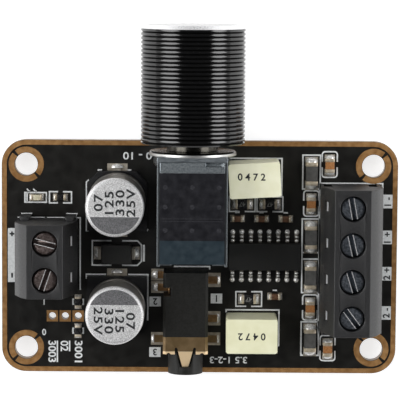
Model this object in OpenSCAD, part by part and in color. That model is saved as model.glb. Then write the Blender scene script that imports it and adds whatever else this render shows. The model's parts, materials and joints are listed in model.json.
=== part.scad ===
// Small stereo audio amplifier board: volume control with a ribbed knob, audio input socket,
// screw terminals for power and speakers, and the parts soldered between them.
// Millimetres. X runs along the board, Y from the knob (front) to the audio socket (back), Z up.
// The origin is the middle of the four mounting holes, on the underside of the board.

/* [Board] */
// Width of the board
board_w = 55; // [54:0.5:62]
// Depth of the board
board_d = 32.5; // [32:0.5:38]
// Thickness of the board
board_t = 1.6; // [0.8:0.1:2.4]
// Radius of the board's corners
corner_r = 3.4; // [1:0.1:4]
// Distance of each mounting hole from the two nearest edges
hole_inset = 3.4; // [3:0.1:4]
// Diameter of the mounting holes
hole_d = 3.2; // [2.2:0.1:3.6]
// Length of the pins under the board
pin_tail = 1.4; // [1.1:0.1:2.5]
// Diameter of the plated option holes
option_hole_d = 1; // [0.7:0.05:1.2]
// Distance between neighbouring option holes
option_pitch = 1.8; // [1.6:0.05:2.0]

/* [Knob] */
// Diameter of the knob over its ribs
knob_d = 14.2; // [13.5:0.1:15]
// Length of the knob
knob_len = 16.1; // [14:0.1:18]
// Free space between the board's front edge and the knob
knob_gap = 0.15; // [0.1:0.05:1.2]
// Width of the polished bevel round the knob's face
knob_bevel = 0.5; // [0.3:0.05:1.2]
// Number of ribs along the knob
knob_ribs = 27; // [20:1:30]
// Depth of the grooves between the ribs
rib_depth = 0.22; // [0.15:0.01:0.35]
// Wall of the aluminium shell
shell_wall = 1.5; // [1:0.1:1.8]
// Thickness of the shell's face
shell_face = 1.6; // [1:0.1:2.5]

/* [Volume control] */
// Distance of the shaft's axis from the middle of the board, along X
pot_x = 1.0; // [0.5:0.1:1.3]
// Height of the shaft's axis over the board
pot_axis_h = 6.5; // [6.2:0.1:7.5]
// Height of the body's top over the shaft's axis
pot_top = 4.9; // [4.6:0.1:5.5]
// Width of the bracket over its two cheeks
pot_w = 9.5; // [9.2:0.1:10]
// Distance of the bracket's front from the board's front edge
pot_setback = 1.4; // [1.2:0.05:1.8]
// Thickness of the bracket's front plate
bracket_t = 0.66; // [0.5:0.02:1]
// Thickness of the bracket's cheeks and tabs
cheek_t = 0.38; // [0.25:0.01:0.5]
// Thickness of the cast front of the body
casting_t = 1.45; // [1:0.05:2]
// Length of the first moulded section
gang_1_len = 6.3; // [5:0.1:6.8]
// Length of the second moulded section
gang_2_len = 2.8; // [2.6:0.05:3.2]
// Length of the switch section
switch_len = 3.2; // [2.5:0.1:3.6]
// Diameter of the shaft
shaft_d = 6; // [5:0.1:6.3]
// Depth of the flat on the shaft
shaft_flat = 1.5; // [1:0.1:2]
// Diameter of the bushing's neck
neck_d = 7; // [6.8:0.1:8]
// Length of the bushing's neck in front of its flange
neck_len = 5; // [4:0.1:6]
// Diameter of the bushing's flange
flange_d = 11.9; // [10:0.1:12.2]
// Thickness of the bushing's flange
flange_t = 0.6; // [0.4:0.05:1]
// Running clearance round the shaft
run_fit = 0.05; // [0.02:0.01:0.1]

/* [Screw terminals] */
// Distance between neighbouring poles
pitch = 5; // [4.9:0.02:5.2]
// Height of the housings
term_h = 9.6; // [9.4:0.1:11]
// Distance of the power terminal's screws from the board's edge
power_edge = 6.55; // [5.5:0.05:7]
// Distance of the speaker terminal's screws from the board's edge
speaker_edge = 6.75; // [5.5:0.05:7]
// Depth of a housing from its screws to the wire side
term_front = 4.3; // [4:0.05:4.6]
// Depth of a housing from its screws to the back
term_back = 4; // [3.9:0.05:4.4]
// Diameter of the screw heads
head_d = 3.2; // [3:0.05:3.5]
// Height of the screw heads
head_h = 1.4; // [1:0.05:1.6]
// Diameter of the screw shanks
thread_d = 2.5; // [2:0.1:2.6]
// Pitch of the screw threads
thread_pitch = 0.45; // [0.4:0.05:0.5]
// Turns of a screw from open to closed
clamp_turns = 4; // [2:0.5:4.5]
// Height of the wire opening when open
wire_h = 2.5; // [2.2:0.05:2.6]
// Thickness of the busbars
busbar_t = 0.6; // [0.4:0.05:0.7]

/* [Audio socket] */
// Distance of the socket's axis from the middle of the board, along X
jack_x = 1.85; // [1.5:0.05:2.5]
// Width of the socket's body
jack_w = 6.2; // [6:0.1:7]
// Height of the socket's body
jack_h = 5; // [4.9:0.1:6]
// Length of the socket's body without its barrel
jack_len = 11.3; // [11:0.1:12]
// Diameter of the barrel
barrel_d = 4.8; // [4.6:0.1:4.9]
// Length of the barrel
barrel_len = 2.9; // [2:0.1:3.2]
// Diameter of the bore for the plug
plug_bore_d = 3.6; // [3.55:0.05:3.7]
// Distance of the barrel's end from the board's back edge
jack_setback = 0.45; // [0:0.05:1]

/* [Capacitors] */
// Diameter of the electrolytic capacitors
can_d = 8; // [6.3:0.1:8.4]
// Height of the electrolytic capacitors over the board
can_h = 10.2; // [7.7:0.1:12]
// Width of the electrolytic capacitors' bases
base_w = 8.3; // [8.3:0.1:8.8]
// Length of the film capacitors
film_l = 7.05; // [6.5:0.05:7.2]
// Width of the film capacitors
film_w = 4.75; // [4:0.05:5]
// Height of the film capacitors
film_h = 6.5; // [5:0.1:8]
// Skew of the front film capacitor, in degrees
film_skew = 3.3; // [0:0.1:5]

/* [Chips] */
// Length of the amplifier chip's body
chip_l = 9.9; // [9.6:0.1:10.2]
// Width of the amplifier chip's body
chip_w = 3.9; // [3.6:0.1:4.2]
// Height of the amplifier chip's body
chip_h = 1.45; // [1:0.05:1.75]
// Span of the amplifier chip over its leads
chip_span = 6; // [5.6:0.1:6.6]
// Distance between neighbouring leads of the amplifier chip
lead_pitch = 1.27; // [1.25:0.01:1.3]
// Length of the diode's body
diode_l = 4.3; // [4:0.1:4.6]
// Width of the diode's body
diode_w = 2.6; // [2.2:0.1:2.8]
// Height of the diode's body
diode_h = 2.1; // [1.5:0.1:2.4]
// Length of the ferrite beads
bead_l = 3.2; // [2.8:0.1:3.4]
// Width of the ferrite beads
bead_w = 1.6; // [1.2:0.05:1.8]
// Height of the ferrite beads
bead_h = 1.1; // [0.6:0.1:1.6]
// Length of the middle-sized chip parts
mid_l = 2; // [1.8:0.05:2.2]
// Width of the middle-sized chip parts
mid_w = 1.25; // [1:0.05:1.4]
// Length of the small chip parts
small_l = 1.6; // [1.4:0.05:1.8]
// Width of the small chip parts
small_w = 0.8; // [0.6:0.05:1]

/* [Hidden] */
$fn = 64;
slip = 0.05;
cut = 1;

// Board edges and mounting holes
edge_x = board_w / 2;
edge_y = board_d / 2;
hole_x = edge_x - hole_inset;
hole_y = edge_y - hole_inset;
top = board_t;
hole_ease = 0.3;
solder_h = 0.9;
solder_rim = 0.12;
solder_spread = 0.45;

// Volume control, front to back
axis_z = top + pot_axis_h;
pot_top_z = axis_z + pot_top;
pot_floor_z = top + 0.5;
bracket_y = -edge_y + pot_setback;
casting_y = bracket_y + bracket_t;
gang_1_y = casting_y + casting_t;
gang_2_y = gang_1_y + gang_1_len;
switch_y = gang_2_y + gang_2_len;
pot_end_y = switch_y + switch_len;
pot_side = pot_w / 2;
pot_inner = pot_side - cheek_t;
cheek_floor_z = pot_floor_z + 1.4;
gang_floor = 0.5;
gang_wall = 0.45;
wafer_t = 1;
rotor_t = 0.8;
rotor_gap = 0.25;
rotor_r = pot_inner - gang_wall - 0.25;
stem_d = 4;
stem_ease = 0.2;
stem_end_y = switch_y + 1.4;
pot_pin_w = 0.9;
pot_pin_t = 0.4;
pot_pin_pitch = 2.5;
leg_w = 1.5;
leg_y = casting_y;
tab_l = 2;
tab_h = 4;
tab_over_axis = 1.2;
switch_pin_y = switch_y + switch_len / 2;
pocket_inset = 0.3;
pocket_w = 2.3;
pocket_l = 0.55;
pocket_depth = 0.7;

// Knob on its shaft
knob_back_y = -edge_y - knob_gap;
knob_front_y = knob_back_y - knob_len;
knob_r = knob_d / 2;
knob_tail = 0.2;
rib_run = (knob_len - knob_bevel - knob_tail) / knob_ribs;
rib_land = 0.45;
shell_r = knob_r - shell_wall;
neck_end_y = bracket_y - flange_t - neck_len;
core_gap = 0.5;
core_end_y = neck_end_y - core_gap;
core_floor = 0.8;
tip_gap = 0.3;
shaft_tip_y = knob_front_y + shell_face + core_floor + tip_gap;

// Screw terminals: s runs from the screws to the wire side, t along the poles
power_poles = 2;
speaker_poles = 4;
power_x = edge_x - power_edge;
speaker_x = -edge_x + speaker_edge;
terminal_y = -0.35;
end_ease = 0.05;
term_flat = 2.46;
lip_s = 3.4;
lip_drop = 1.4;
front_drop = 3.8;
back_drop = 5.1;
well_d = head_d + 0.3;
head_sink = 0.5;
seat_drop = head_sink + head_h;
cage_floor = 0.6;
cage_roof = 0.9;
cage_lift = 0.2;
cage_w = 3.4;
cage_l = 3.8;
cage_open = thread_d + 0.2;
cage_play = 0.2;
clamp_travel = thread_pitch * clamp_turns;
busbar_z = cage_lift + cage_floor + wire_h;
cage_top_z = busbar_z + busbar_t + 0.1 + cage_roof;
cavity_h = cage_top_z + clamp_travel + 0.1;
seat_z = term_h - seat_drop;
busbar_w = 1.6;
busbar_back = 3.35;
busbar_plate = 0.4;
fin_w = 1.3;
fin_drop = 0.08;
window_w = 3;
term_pin_w = 1;
term_pin_t = 0.8;
slot_w = 0.62;
slot_d = 0.8;
slot_power = [166, 71];
slot_speaker = [100, 103, 107, 127];
tongue_s = 3.1;
tongue_root = 0.5;
tongue_tip = 0.75;
tongue_l = 0.55;
tongue_h = 4;

// Audio socket, from its mouth to its back
jack_mouth_y = edge_y - jack_setback;
jack_face_y = jack_mouth_y - barrel_len;
jack_back_y = jack_face_y - jack_len;
jack_axis_z = top + jack_h / 2;
jack_side = jack_w / 2;
bore_floor = 0.9;
clip_t = 0.2;
clip_l = 2.4;
clip_foot = 1.3;
strip_w = 1;
strip_t = 0.22;
strip_slot = 1.2;
strip_h = 3;
blade_s = plug_bore_d / 2 + 0.35;
tongue_root_w = 2.05;
tongue_tip_w = 0.87;
tongue_len = 2.3;
tongue_fall = 13;
tongue_bend = 0.5;
relief_w = 2.9;
relief_l = 0.95;
relief_r = 0.18;
nick_x = 2.3;
nick_r = 0.3;
nick_depth = 0.2;
notch_end = 1.85;
peg_d = 1;
peg_h = 0.9;
pegs = [2.4, 8.2];

// Places of the soldered parts. The amplifier's group follows the side of the volume control,
// the output group the speaker terminal. The electrolytic capacitors stand in the room between
// the volume control and the power terminal, with the diode and the option parts beside them.
chip_gap = 0.36;
chip_x = pot_x - pot_side - chip_gap - chip_l / 2;
chip_y = -0.23;
chip_lead_w = 0.41;
chip_lead_t = 0.2;
chip_lift = 0.12;
film_gap = 0.09;
film_reach = film_l / 2 * cos(film_skew) + film_w / 2 * sin(film_skew);
film_1_y = -11.35;
film_1 = [pot_x - pot_side - film_gap - film_reach, film_1_y];
film_2_shift = 1.8;
film_2_y = 10.13;
film_2 = [chip_x + film_2_shift, film_2_y];
film_lead_d = 0.6;
film_lead_pitch = 5;
film_lift = 0.15;
can_room = power_x - term_back - pot_x - pot_side - base_w;
can_share = 0.5345;
can_x = pot_x + pot_side + can_share * can_room + base_w / 2;
diode_shift = 0.05;
diode_x = can_x + diode_shift;
diode_y = -0.5;
diode_span = 5.2;
diode_lead_w = 1.5;
diode_lead_t = 0.25;
can_1_reach = 3.25;
can_2_reach = 3.15;
can_1 = [can_x, diode_y - can_1_reach - base_w / 2];
can_2 = [can_x, diode_y + can_2_reach + base_w / 2];
base_lift = 0.2;
base_floor = 0.5;
base_h = 1.3;
base_chamfer = 1.6;
can_round = 0.5;
can_groove_z = 2.6;
can_groove_r = 0.6;
can_groove_depth = 0.3;
can_lead_w = 0.9;
can_lead_out = 0.85;
can_lead_in = 2.6;
mid_h = 0.9;
small_h = 0.5;
cap_h = 0.8;
bead_end = 0.57;
mid_end = 0.5;
small_end = 0.35;
end_proud = 0.02;
fillet = 0.42;
fillet_share = 0.38;
bead_gap = 0.45;
bead_x = speaker_x + term_back + bead_gap + bead_w / 2;
bead_front_y = -11.81;
bead_inner_front_y = -2.91;
bead_inner_back_y = 2.72;
bead_back_y = 11.56;
beads = [for (y = [bead_front_y, bead_inner_front_y, bead_inner_back_y, bead_back_y]) [bead_x, y]];
outer_shift = 2.75;
outer_x = speaker_x + outer_shift;
output_front_y = -12.96;
output_inner_front_y = -7.52;
output_inner_back_y = 7.08;
output_back_y = 12.81;
output_caps = [
  [outer_x, output_front_y], [bead_x, output_inner_front_y],
  [bead_x, output_inner_back_y], [outer_x, output_back_y]
];
signal_pitch = 3.35;
signal_shift = 0.45;
signal_y = -5.44;
back_cap_shift = 1.5;
back_cap_y = 5.45;
signal_caps = [
  for (i = [1, 0, -1]) [chip_x + signal_shift + i * signal_pitch, signal_y],
  [chip_x - back_cap_shift, back_cap_y]
];
gain_pitch = 3.84;
gain_shift = 3.14;
gain_y = -7.46;
back_resistor_shift = 2.13;
back_resistor_y = 5.85;
mid_resistors = [
  [chip_x + gain_shift, gain_y], [chip_x + gain_shift - gain_pitch, gain_y],
  [chip_x + back_resistor_shift, back_resistor_y]
];
supply_shift = 1.6;
supply_y = -8.25;
supply_resistor = [power_x - supply_shift, supply_y];
led_shift = 1.7;
led_y = -8.22;
led = [power_x + led_shift, led_y];
option_gap = 0.88;
option_x = can_x + base_w / 2 + option_gap + small_w / 2;
option_front_y = 6.39;
option_back_y = 10.48;
option_resistors = [[option_x, option_front_y], [option_x, option_back_y]];
option_y = 8.4;

// Shared shapes

// Box between two corners
module block(low, high) {
  translate(low)
    cube(high - low);
}

// Rectangle with round corners
module rounded_rect(w, d, r) {
  square([w - 2 * r, d], center = true);
  square([w, d - 2 * r], center = true);
  for (x = [-1, 1], y = [-1, 1])
    translate([x * (w / 2 - r), y * (d / 2 - r)])
      circle(r);
}

// Turns a shape that stands on Z so that it lies on the shaft's axis, from y towards the back
module on_axis(y) {
  translate([pot_x, y, axis_z])
    rotate([-90, 0, 0])
      children();
}

// Turns an outline drawn in X and Z into a bar of the given length, centred on y
module bar_along_y(len, y = 0) {
  translate([0, y, 0])
    rotate([90, 0, 0])
      linear_extrude(len, center = true)
        children();
}

// Turns an outline drawn in Y and Z into a bar of the given length, centred on x
module bar_along_x(len, x = 0) {
  translate([x, 0, 0])
    rotate([90, 0, 90])
      linear_extrude(len, center = true)
        children();
}

// Places a shape on the power terminal, with the wire side towards +X
module on_power() {
  translate([power_x, terminal_y, top])
    children();
}

// Places a shape on the speaker terminal, with the wire side towards -X
module on_speaker() {
  translate([speaker_x, terminal_y, top])
    rotate(180)
      children();
}

// Places a shape on the audio socket: Y from its back to its mouth, Z from the board
module on_jack() {
  translate([jack_x, jack_back_y, top])
    children();
}

function pole_t(i, poles) = (i - (poles - 1) / 2) * pitch;
function term_len(poles) = poles * pitch + 2 * end_ease;
function turned(p, a) = [p.x * cos(a) - p.y * sin(a), p.x * sin(a) + p.y * cos(a)];

// Pins through the board: [place, width in X, width in Y]
pot_pin_rows = [gang_2_y - wafer_t / 2, switch_y - wafer_t / 2];
pot_pins = [
  for (y = pot_pin_rows, i = [-1:1]) [[pot_x + i * pot_pin_pitch, y], pot_pin_w, pot_pin_t]
];
switch_pins = [
  for (i = [-1, 1]) [[pot_x + i * pot_pin_pitch, switch_pin_y], pot_pin_w, pot_pin_t]
];
bracket_legs = [
  for (i = [-1, 1]) [[pot_x + i * (pot_side - cheek_t / 2), leg_y + leg_w / 2], cheek_t, leg_w]
];
power_pins = [
  for (i = [0:power_poles - 1])
    [[power_x - busbar_back, terminal_y + pole_t(i, power_poles)], busbar_plate, term_pin_w]
];
speaker_pins = [
  for (i = [0:speaker_poles - 1])
    [[speaker_x + busbar_back, terminal_y + pole_t(i, speaker_poles)], busbar_plate, term_pin_w]
];
flat_pins = concat(pot_pins, switch_pins, bracket_legs, power_pins, speaker_pins);
film_pins = [
  for (i = [-1, 1]) film_1 + turned([i * film_lead_pitch / 2, 0], film_skew),
  for (i = [-1, 1]) film_2 + [i * film_lead_pitch / 2, 0]
];
function pin_r(pin) = norm([pin[1], pin[2]]) / 2;

// Bare pin from under the board up to height z
module flat_pin(pin, z) {
  translate(concat(pin[0] - [pin[1], pin[2]] / 2, -pin_tail))
    cube([pin[1], pin[2], z + pin_tail]);
}

// Board
module circuit_board() {
  color("#20201e")
    difference() {
      linear_extrude(board_t)
        rounded_rect(board_w, board_d, corner_r);
      for (x = [-1, 1], y = [-1, 1])
        board_hole([x * hole_x, y * hole_y], hole_d);
      for (i = [0:2])
        board_hole([option_x + i * option_pitch, option_y], option_hole_d);
      for (pin = flat_pins)
        board_hole(pin[0], 2 * pin_r(pin) + hole_ease);
      for (place = film_pins)
        board_hole(place, film_lead_d + hole_ease);
      for (y = pegs)
        board_hole([jack_x, jack_back_y + y], peg_d + 2 * slip);
    }
}

module board_hole(place, d) {
  translate(concat(place, -cut))
    cylinder(d = d, h = board_t + 2 * cut);
}

// Volume control
module pot_bracket() {
  color("#7d868b")
    translate([pot_x, 0, 0]) {
      difference() {
        block([-pot_side, bracket_y, pot_floor_z], [pot_side, casting_y, pot_top_z]);
        translate([-pot_x, 0, 0])
          on_axis(bracket_y - cut)
            cylinder(d = neck_d + 2 * slip, h = bracket_t + 2 * cut);
      }
      for (side = [0, 1])
        mirror([side, 0, 0])
          bracket_cheek();
    }
}

// One cheek of the bracket, with its solder leg and the tab folded behind the switch
module bracket_cheek() {
  block([pot_inner, casting_y - slip, cheek_floor_z], [pot_side, pot_end_y + cheek_t, pot_top_z - 0.3]);
  block([pot_inner, leg_y, -pin_tail], [pot_side, leg_y + leg_w, cheek_floor_z + slip]);
  block(
    [pot_side - tab_l, pot_end_y, axis_z + tab_over_axis - tab_h / 2],
    [pot_side, pot_end_y + cheek_t, axis_z + tab_over_axis + tab_h / 2]
  );
}

module pot_bushing() {
  color("#8f979c")
    on_axis(neck_end_y)
      rotate_extrude()
        polygon([
          [shaft_d / 2 + run_fit, 0],
          [neck_d / 2 - 0.3, 0],
          [neck_d / 2, 0.3],
          [neck_d / 2, neck_len],
          [flange_d / 2 - 0.2, neck_len],
          [flange_d / 2, neck_len + 0.2],
          [flange_d / 2, neck_len + flange_t],
          [neck_d / 2, neck_len + flange_t],
          [neck_d / 2, neck_len + flange_t + bracket_t],
          [shaft_d / 2 + run_fit, neck_len + flange_t + bracket_t]
        ]);
}

module pot_front_casting() {
  color("#8d969b")
    difference() {
      pot_section(casting_y, gang_1_y);
      on_axis(casting_y - cut)
        cylinder(d = shaft_d + 2 * stem_ease, h = casting_t + 2 * cut);
      translate([pot_x - pot_inner + pocket_inset, casting_y - cut, pot_top_z - pocket_depth])
        cube([pocket_w, pocket_l + cut, pocket_depth + cut]);
    }
}

// Full cross-section of the moulded body between two places along the axis
module pot_section(y0, y1) {
  block([pot_x - pot_inner, y0, pot_floor_z], [pot_x + pot_inner, y1, pot_top_z]);
}

// Moulded section with a round chamber for the rotor and a pocket for the wafer
module pot_gang(y0, y1) {
  chamber_r = pot_inner - gang_wall;
  difference() {
    pot_section(y0, y1);
    on_axis(y0 - cut)
      cylinder(d = stem_d + 2 * stem_ease, h = y1 - y0);
    on_axis(y0 + gang_floor)
      cylinder(r = chamber_r, h = y1 - y0 - gang_floor - wafer_t / 2);
    block(
      [pot_x - chamber_r, y1 - wafer_t - slip, pot_floor_z - cut],
      [pot_x + chamber_r, y1 + cut, axis_z + chamber_r]
    );
  }
}

module pot_front_housing() {
  color("#222226")
    pot_gang(gang_1_y, gang_2_y);
}

module pot_rear_housing() {
  color("#252529")
    pot_gang(gang_2_y, switch_y);
}

module pot_switch_housing() {
  color("#2b3940")
    difference() {
      pot_section(switch_y, pot_end_y);
      on_axis(switch_y - cut)
        cylinder(d = stem_d + 2 * stem_ease, h = cut + stem_end_y - switch_y + stem_ease);
    }
}

// Resistor wafer that closes a moulded section ending at y1
module pot_wafer(y1) {
  half = pot_inner - gang_wall - slip;
  difference() {
    block([pot_x - half, y1 - wafer_t, pot_floor_z + 0.6], [pot_x + half, y1 - slip, axis_z + half]);
    on_axis(y1 - wafer_t - cut)
      cylinder(d = stem_d + 2 * stem_ease, h = wafer_t + 2 * cut);
  }
}

module pot_front_wafer() {
  color("#6b4a2c")
    pot_wafer(gang_2_y);
}

module pot_rear_wafer() {
  color("#6b4a2c")
    pot_wafer(switch_y);
}

// Wiper carrier in front of a wafer
module pot_rotor(y1) {
  on_axis(y1 - wafer_t - rotor_gap - rotor_t)
    difference() {
      cylinder(r = rotor_r, h = rotor_t);
      translate([0, 0, -cut])
        cylinder(d = stem_d + 2 * slip, h = rotor_t + 2 * cut);
    }
}

module pot_front_rotor() {
  color("#e4e0d4")
    pot_rotor(gang_2_y);
}

module pot_rear_rotor() {
  color("#e4e0d4")
    pot_rotor(switch_y);
}

// Cross-section of the shaft's flatted end, or of the bore that takes it
module flatted(ease) {
  difference() {
    circle(d = shaft_d + 2 * ease);
    translate([-shaft_d, shaft_d / 2 - shaft_flat + ease])
      square(2 * shaft_d);
  }
}

module pot_shaft() {
  color("#9aa0a4") {
    on_axis(shaft_tip_y)
      linear_extrude(core_end_y - shaft_tip_y)
        flatted(0);
    on_axis(core_end_y)
      cylinder(d = shaft_d, h = gang_1_y - core_end_y);
    on_axis(gang_1_y)
      cylinder(d = stem_d, h = stem_end_y - gang_1_y);
  }
}

module pot_terminals() {
  color("#c9cacb") {
    for (pin = pot_pins)
      flat_pin(pin, pot_floor_z + 0.6);
    for (pin = switch_pins)
      flat_pin(pin, pot_floor_z);
  }
}

// Knob
module knob_shell() {
  ribs = [
    for (i = [0:knob_ribs - 1])
      let (z = knob_bevel + i * rib_run)
        each [
          [knob_r, z],
          [knob_r, z + rib_land * rib_run],
          [knob_r - rib_depth, z + (1 + rib_land) / 2 * rib_run]
        ]
  ];
  color("#161617")
    on_axis(knob_front_y)
      rotate_extrude()
        polygon(concat(
          [[0, 0], [knob_r - knob_bevel, 0]],
          ribs,
          [
            [knob_r, knob_len - knob_tail],
            [knob_r - knob_tail, knob_len],
            [shell_r, knob_len],
            [shell_r, shell_face],
            [0, shell_face]
          ]
        ));
}

module knob_core() {
  core_front = knob_front_y + shell_face;
  color("#1b1b1c")
    difference() {
      on_axis(core_front)
        cylinder(r = shell_r - slip, h = core_end_y - core_front);
      on_axis(core_front + core_floor)
        linear_extrude(core_end_y - core_front)
          flatted(slip);
    }
}

// Audio socket
module jack_housing() {
  color("#232321")
    on_jack()
      difference() {
        union() {
          bar_along_y(jack_len - clip_l, (jack_len - clip_l) / 2)
            jack_outline(jack_side, jack_h);
          bar_along_y(clip_l + slip, jack_len - clip_l / 2 - slip / 2)
            jack_outline(jack_side - clip_t, jack_h - clip_t);
          translate([0, jack_len - slip, jack_h / 2])
            rotate([-90, 0, 0])
              cylinder(d = barrel_d, h = barrel_len + slip);
          for (y = pegs)
            translate([0, y, -peg_h])
              cylinder(d = peg_d, h = peg_h + slip);
        }
        translate([0, bore_floor, jack_h / 2])
          rotate([-90, 0, 0])
            cylinder(d = plug_bore_d, h = jack_len + barrel_len);
        for (contact = jack_feet)
          strip_slot(contact);
        barrel_notch();
      }
}

// The four contact strips: [side, distance from the socket's back, height of the slot]
slot_h = strip_h + 0.1;
jack_feet = [[1, 0.9, slot_h], [1, 2.65, jack_h + cut], [-1, 1.6, slot_h], [-1, 7, slot_h]];

// Cross-section of the socket's body, with the top edges cut back
module jack_outline(half, h) {
  bevel = 0.35;
  polygon([
    [-half, 0], [half, 0], [half, h - bevel], [half - bevel, h], [bevel - half, h], [-half, h - bevel]
  ]);
}

// Slot in the side of the body for one contact strip
module strip_slot(contact) {
  mirror([contact[0] < 0 ? 1 : 0, 0, 0])
    block(
      [blade_s - 0.1, contact[1] - strip_slot / 2, -cut],
      [jack_side + cut, contact[1] + strip_slot / 2, contact[2]]
    );
}

// Opening over the bore for the tongue of the ground clip
module barrel_notch() {
  half = tongue_root_w / 2 + 0.25;
  tip = tongue_tip_w / 2 + 0.3;
  translate([0, 0, jack_h / 2])
    linear_extrude(jack_h)
      polygon([
        [-half, jack_len - tongue_bend - 0.1], [half, jack_len - tongue_bend - 0.1],
        [tip, jack_len + notch_end], [-tip, jack_len + notch_end]
      ]);
}

module jack_ground_clip() {
  clip_y = jack_len - clip_l;
  color("#8a6b4c")
    on_jack() {
      difference() {
        bar_along_y(clip_l, clip_y + clip_l / 2)
          difference() {
            jack_outline(jack_side, jack_h);
            translate([0, -slip])
              jack_outline(jack_side - clip_t + slip / 2, jack_h - clip_t + slip / 2 + slip);
          }
        translate([0, jack_len, jack_h - cut])
          linear_extrude(2 * cut)
            clip_relief();
      }
      for (side = [-1, 1])
        mirror([side < 0 ? 1 : 0, 0, 0])
          block(
            [jack_side - clip_t + slip / 2, clip_y + 0.5, 0],
            [jack_side + clip_foot, clip_y + 0.5 + strip_w, strip_t]
          );
      clip_tongue(jack_len - tongue_bend);
    }
}

// Cut-out of the clip's top round the root of its tongue, with a nick beside each slot
module clip_relief() {
  slot_x = relief_w / 2 - relief_r;
  difference() {
    union() {
      for (side = [-1, 1])
        translate([side * slot_x, relief_r - relief_l])
          circle(relief_r);
      translate([-relief_w / 2, relief_r - relief_l])
        square([relief_w, relief_l]);
    }
    polygon([
      [relief_r - slot_x, -relief_l - slip], [slot_x - relief_r, -relief_l - slip],
      [tongue_root_w / 2, clip_t / 2 - tongue_bend], [-tongue_root_w / 2, clip_t / 2 - tongue_bend]
    ]);
  }
  for (side = [-1, 1])
    translate([side * nick_x, nick_r - nick_depth])
      circle(nick_r);
}

// Spring tongue of the clip, bent down towards the plug
module clip_tongue(y) {
  translate([0, y, jack_h - clip_t + slip / 2])
    rotate([-tongue_fall, 0, 0])
      linear_extrude(clip_t - slip / 2)
        polygon([
          [-tongue_root_w / 2, 0], [tongue_root_w / 2, 0],
          [tongue_tip_w / 2, tongue_len], [-tongue_tip_w / 2, tongue_len]
        ]);
}

// Contact strip: a foot on the board and a blade that stands beside the bore
module jack_contact(contact) {
  foot_end = jack_side + clip_foot;
  color("#c9a673")
    on_jack()
      mirror([contact[0] < 0 ? 1 : 0, 0, 0])
        bar_along_y(strip_w, contact[1])
          polygon([
            [blade_s, 0], [foot_end, 0], [foot_end, strip_t], [blade_s + strip_t, strip_t],
            [blade_s + strip_t, strip_h], [blade_s, strip_h]
          ]);
}

// Screw terminals
module terminal_housing(poles) {
  len = term_len(poles);
  difference() {
    union() {
      bar_along_y(len)
        polygon([
          [-term_back, 0], [term_front, 0], [term_front, term_h - front_drop],
          [lip_s, term_h - lip_drop], [term_flat, term_h], [-term_flat, term_h],
          [-term_back, term_h - back_drop]
        ]);
      for (s = [-1, 1])
        dovetail(s * tongue_s, -len / 2, 0, 0);
    }
    for (s = [-1, 1])
      dovetail(s * tongue_s, len / 2, slip, cut);
    for (i = [0:poles - 1])
      translate([0, pole_t(i, poles), 0])
        pole_cavity();
  }
}

// Dovetail on the end of a housing at t, or the groove that takes it
module dovetail(s, t, ease, below) {
  translate([s, t, -below])
    linear_extrude(tongue_h + ease + below)
      polygon([
        [-tongue_root - ease, slip], [tongue_root + ease, slip],
        [tongue_tip + ease, -tongue_l - ease], [-tongue_tip - ease, -tongue_l - ease]
      ]);
}

// What is cut from a housing for one pole: screw well, clamp chamber, busbar slot and wire window
module pole_cavity() {
  half_w = cage_w / 2 + cage_play;
  half_l = cage_l / 2 + cage_play;
  back = busbar_back + busbar_plate / 2 + slip / 2;
  translate([0, 0, seat_z])
    cylinder(d = well_d, h = seat_drop + cut);
  translate([0, 0, cavity_h - slip])
    cylinder(d = thread_d + 0.4, h = seat_z - cavity_h + cut / 2);
  block([-half_l, -half_w, -cut], [half_l, half_w, cavity_h]);
  block([-back, -busbar_w / 2 - slip, -cut], [0, busbar_w / 2 + slip, busbar_z + busbar_t + slip]);
  block(
    [-back, -fin_w / 2 - slip, 0],
    [-back + busbar_plate + slip, fin_w / 2 + slip, term_h]
  );
  block(
    [half_l - slip, -window_w / 2, cage_lift + cage_floor / 2],
    [term_front + cut, window_w / 2, busbar_z]
  );
}

// Busbar of one pole: pin, upright plate with a fin behind the slit, and tongue over the wire
module busbar() {
  back = busbar_back + busbar_plate / 2;
  slope = back_drop / (term_back - term_flat);
  fin_top = term_h - slope * (back - term_flat) - fin_drop;
  block([-back, -busbar_w / 2, 0], [busbar_plate - back, busbar_w / 2, busbar_z + busbar_t]);
  block([-back, -fin_w / 2, busbar_z], [busbar_plate - back, fin_w / 2, fin_top]);
  block([-back, -busbar_w / 2, busbar_z], [cage_l / 2 - 0.2, busbar_w / 2, busbar_z + busbar_t]);
  block([-back, -term_pin_w / 2, -top - pin_tail], [busbar_plate - back, term_pin_w / 2, slip]);
}

// Captive slotted screw of one pole
module terminal_screw(angle) {
  translate([0, 0, seat_z])
    rotate(angle)
      difference() {
        union() {
          cylinder(d = head_d, h = head_h - 0.2);
          translate([0, 0, head_h - 0.2])
            cylinder(d1 = head_d, d2 = head_d - 0.4, h = 0.2);
          translate([0, 0, busbar_z + busbar_t + 0.1 - seat_z])
            cylinder(d = thread_d, h = seat_z - busbar_z - busbar_t);
        }
        block([-head_d, -slot_w / 2, head_h - slot_d], [head_d, slot_w / 2, head_h + cut]);
      }
}

// Rising clamp of one pole, in its open place: a square loop with the thread in its roof
module terminal_clamp() {
  difference() {
    block([-cage_l / 2, -cage_w / 2, cage_lift], [cage_l / 2, cage_w / 2, cage_top_z]);
    block(
      [-cage_l, -cage_open / 2, cage_lift + cage_floor],
      [cage_l, cage_open / 2, cage_top_z - cage_roof]
    );
    translate([0, 0, cage_top_z - cage_roof - cut])
      cylinder(d = thread_d + 2 * run_fit, h = cage_roof + 2 * cut);
  }
}

module power_terminal_housing() {
  color("#2b2b2d")
    on_power()
      terminal_housing(power_poles);
}

module power_busbars() {
  color("#c4c2ba")
    on_power()
      for (i = [0:power_poles - 1])
        translate([0, pole_t(i, power_poles), 0])
          busbar();
}

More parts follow.
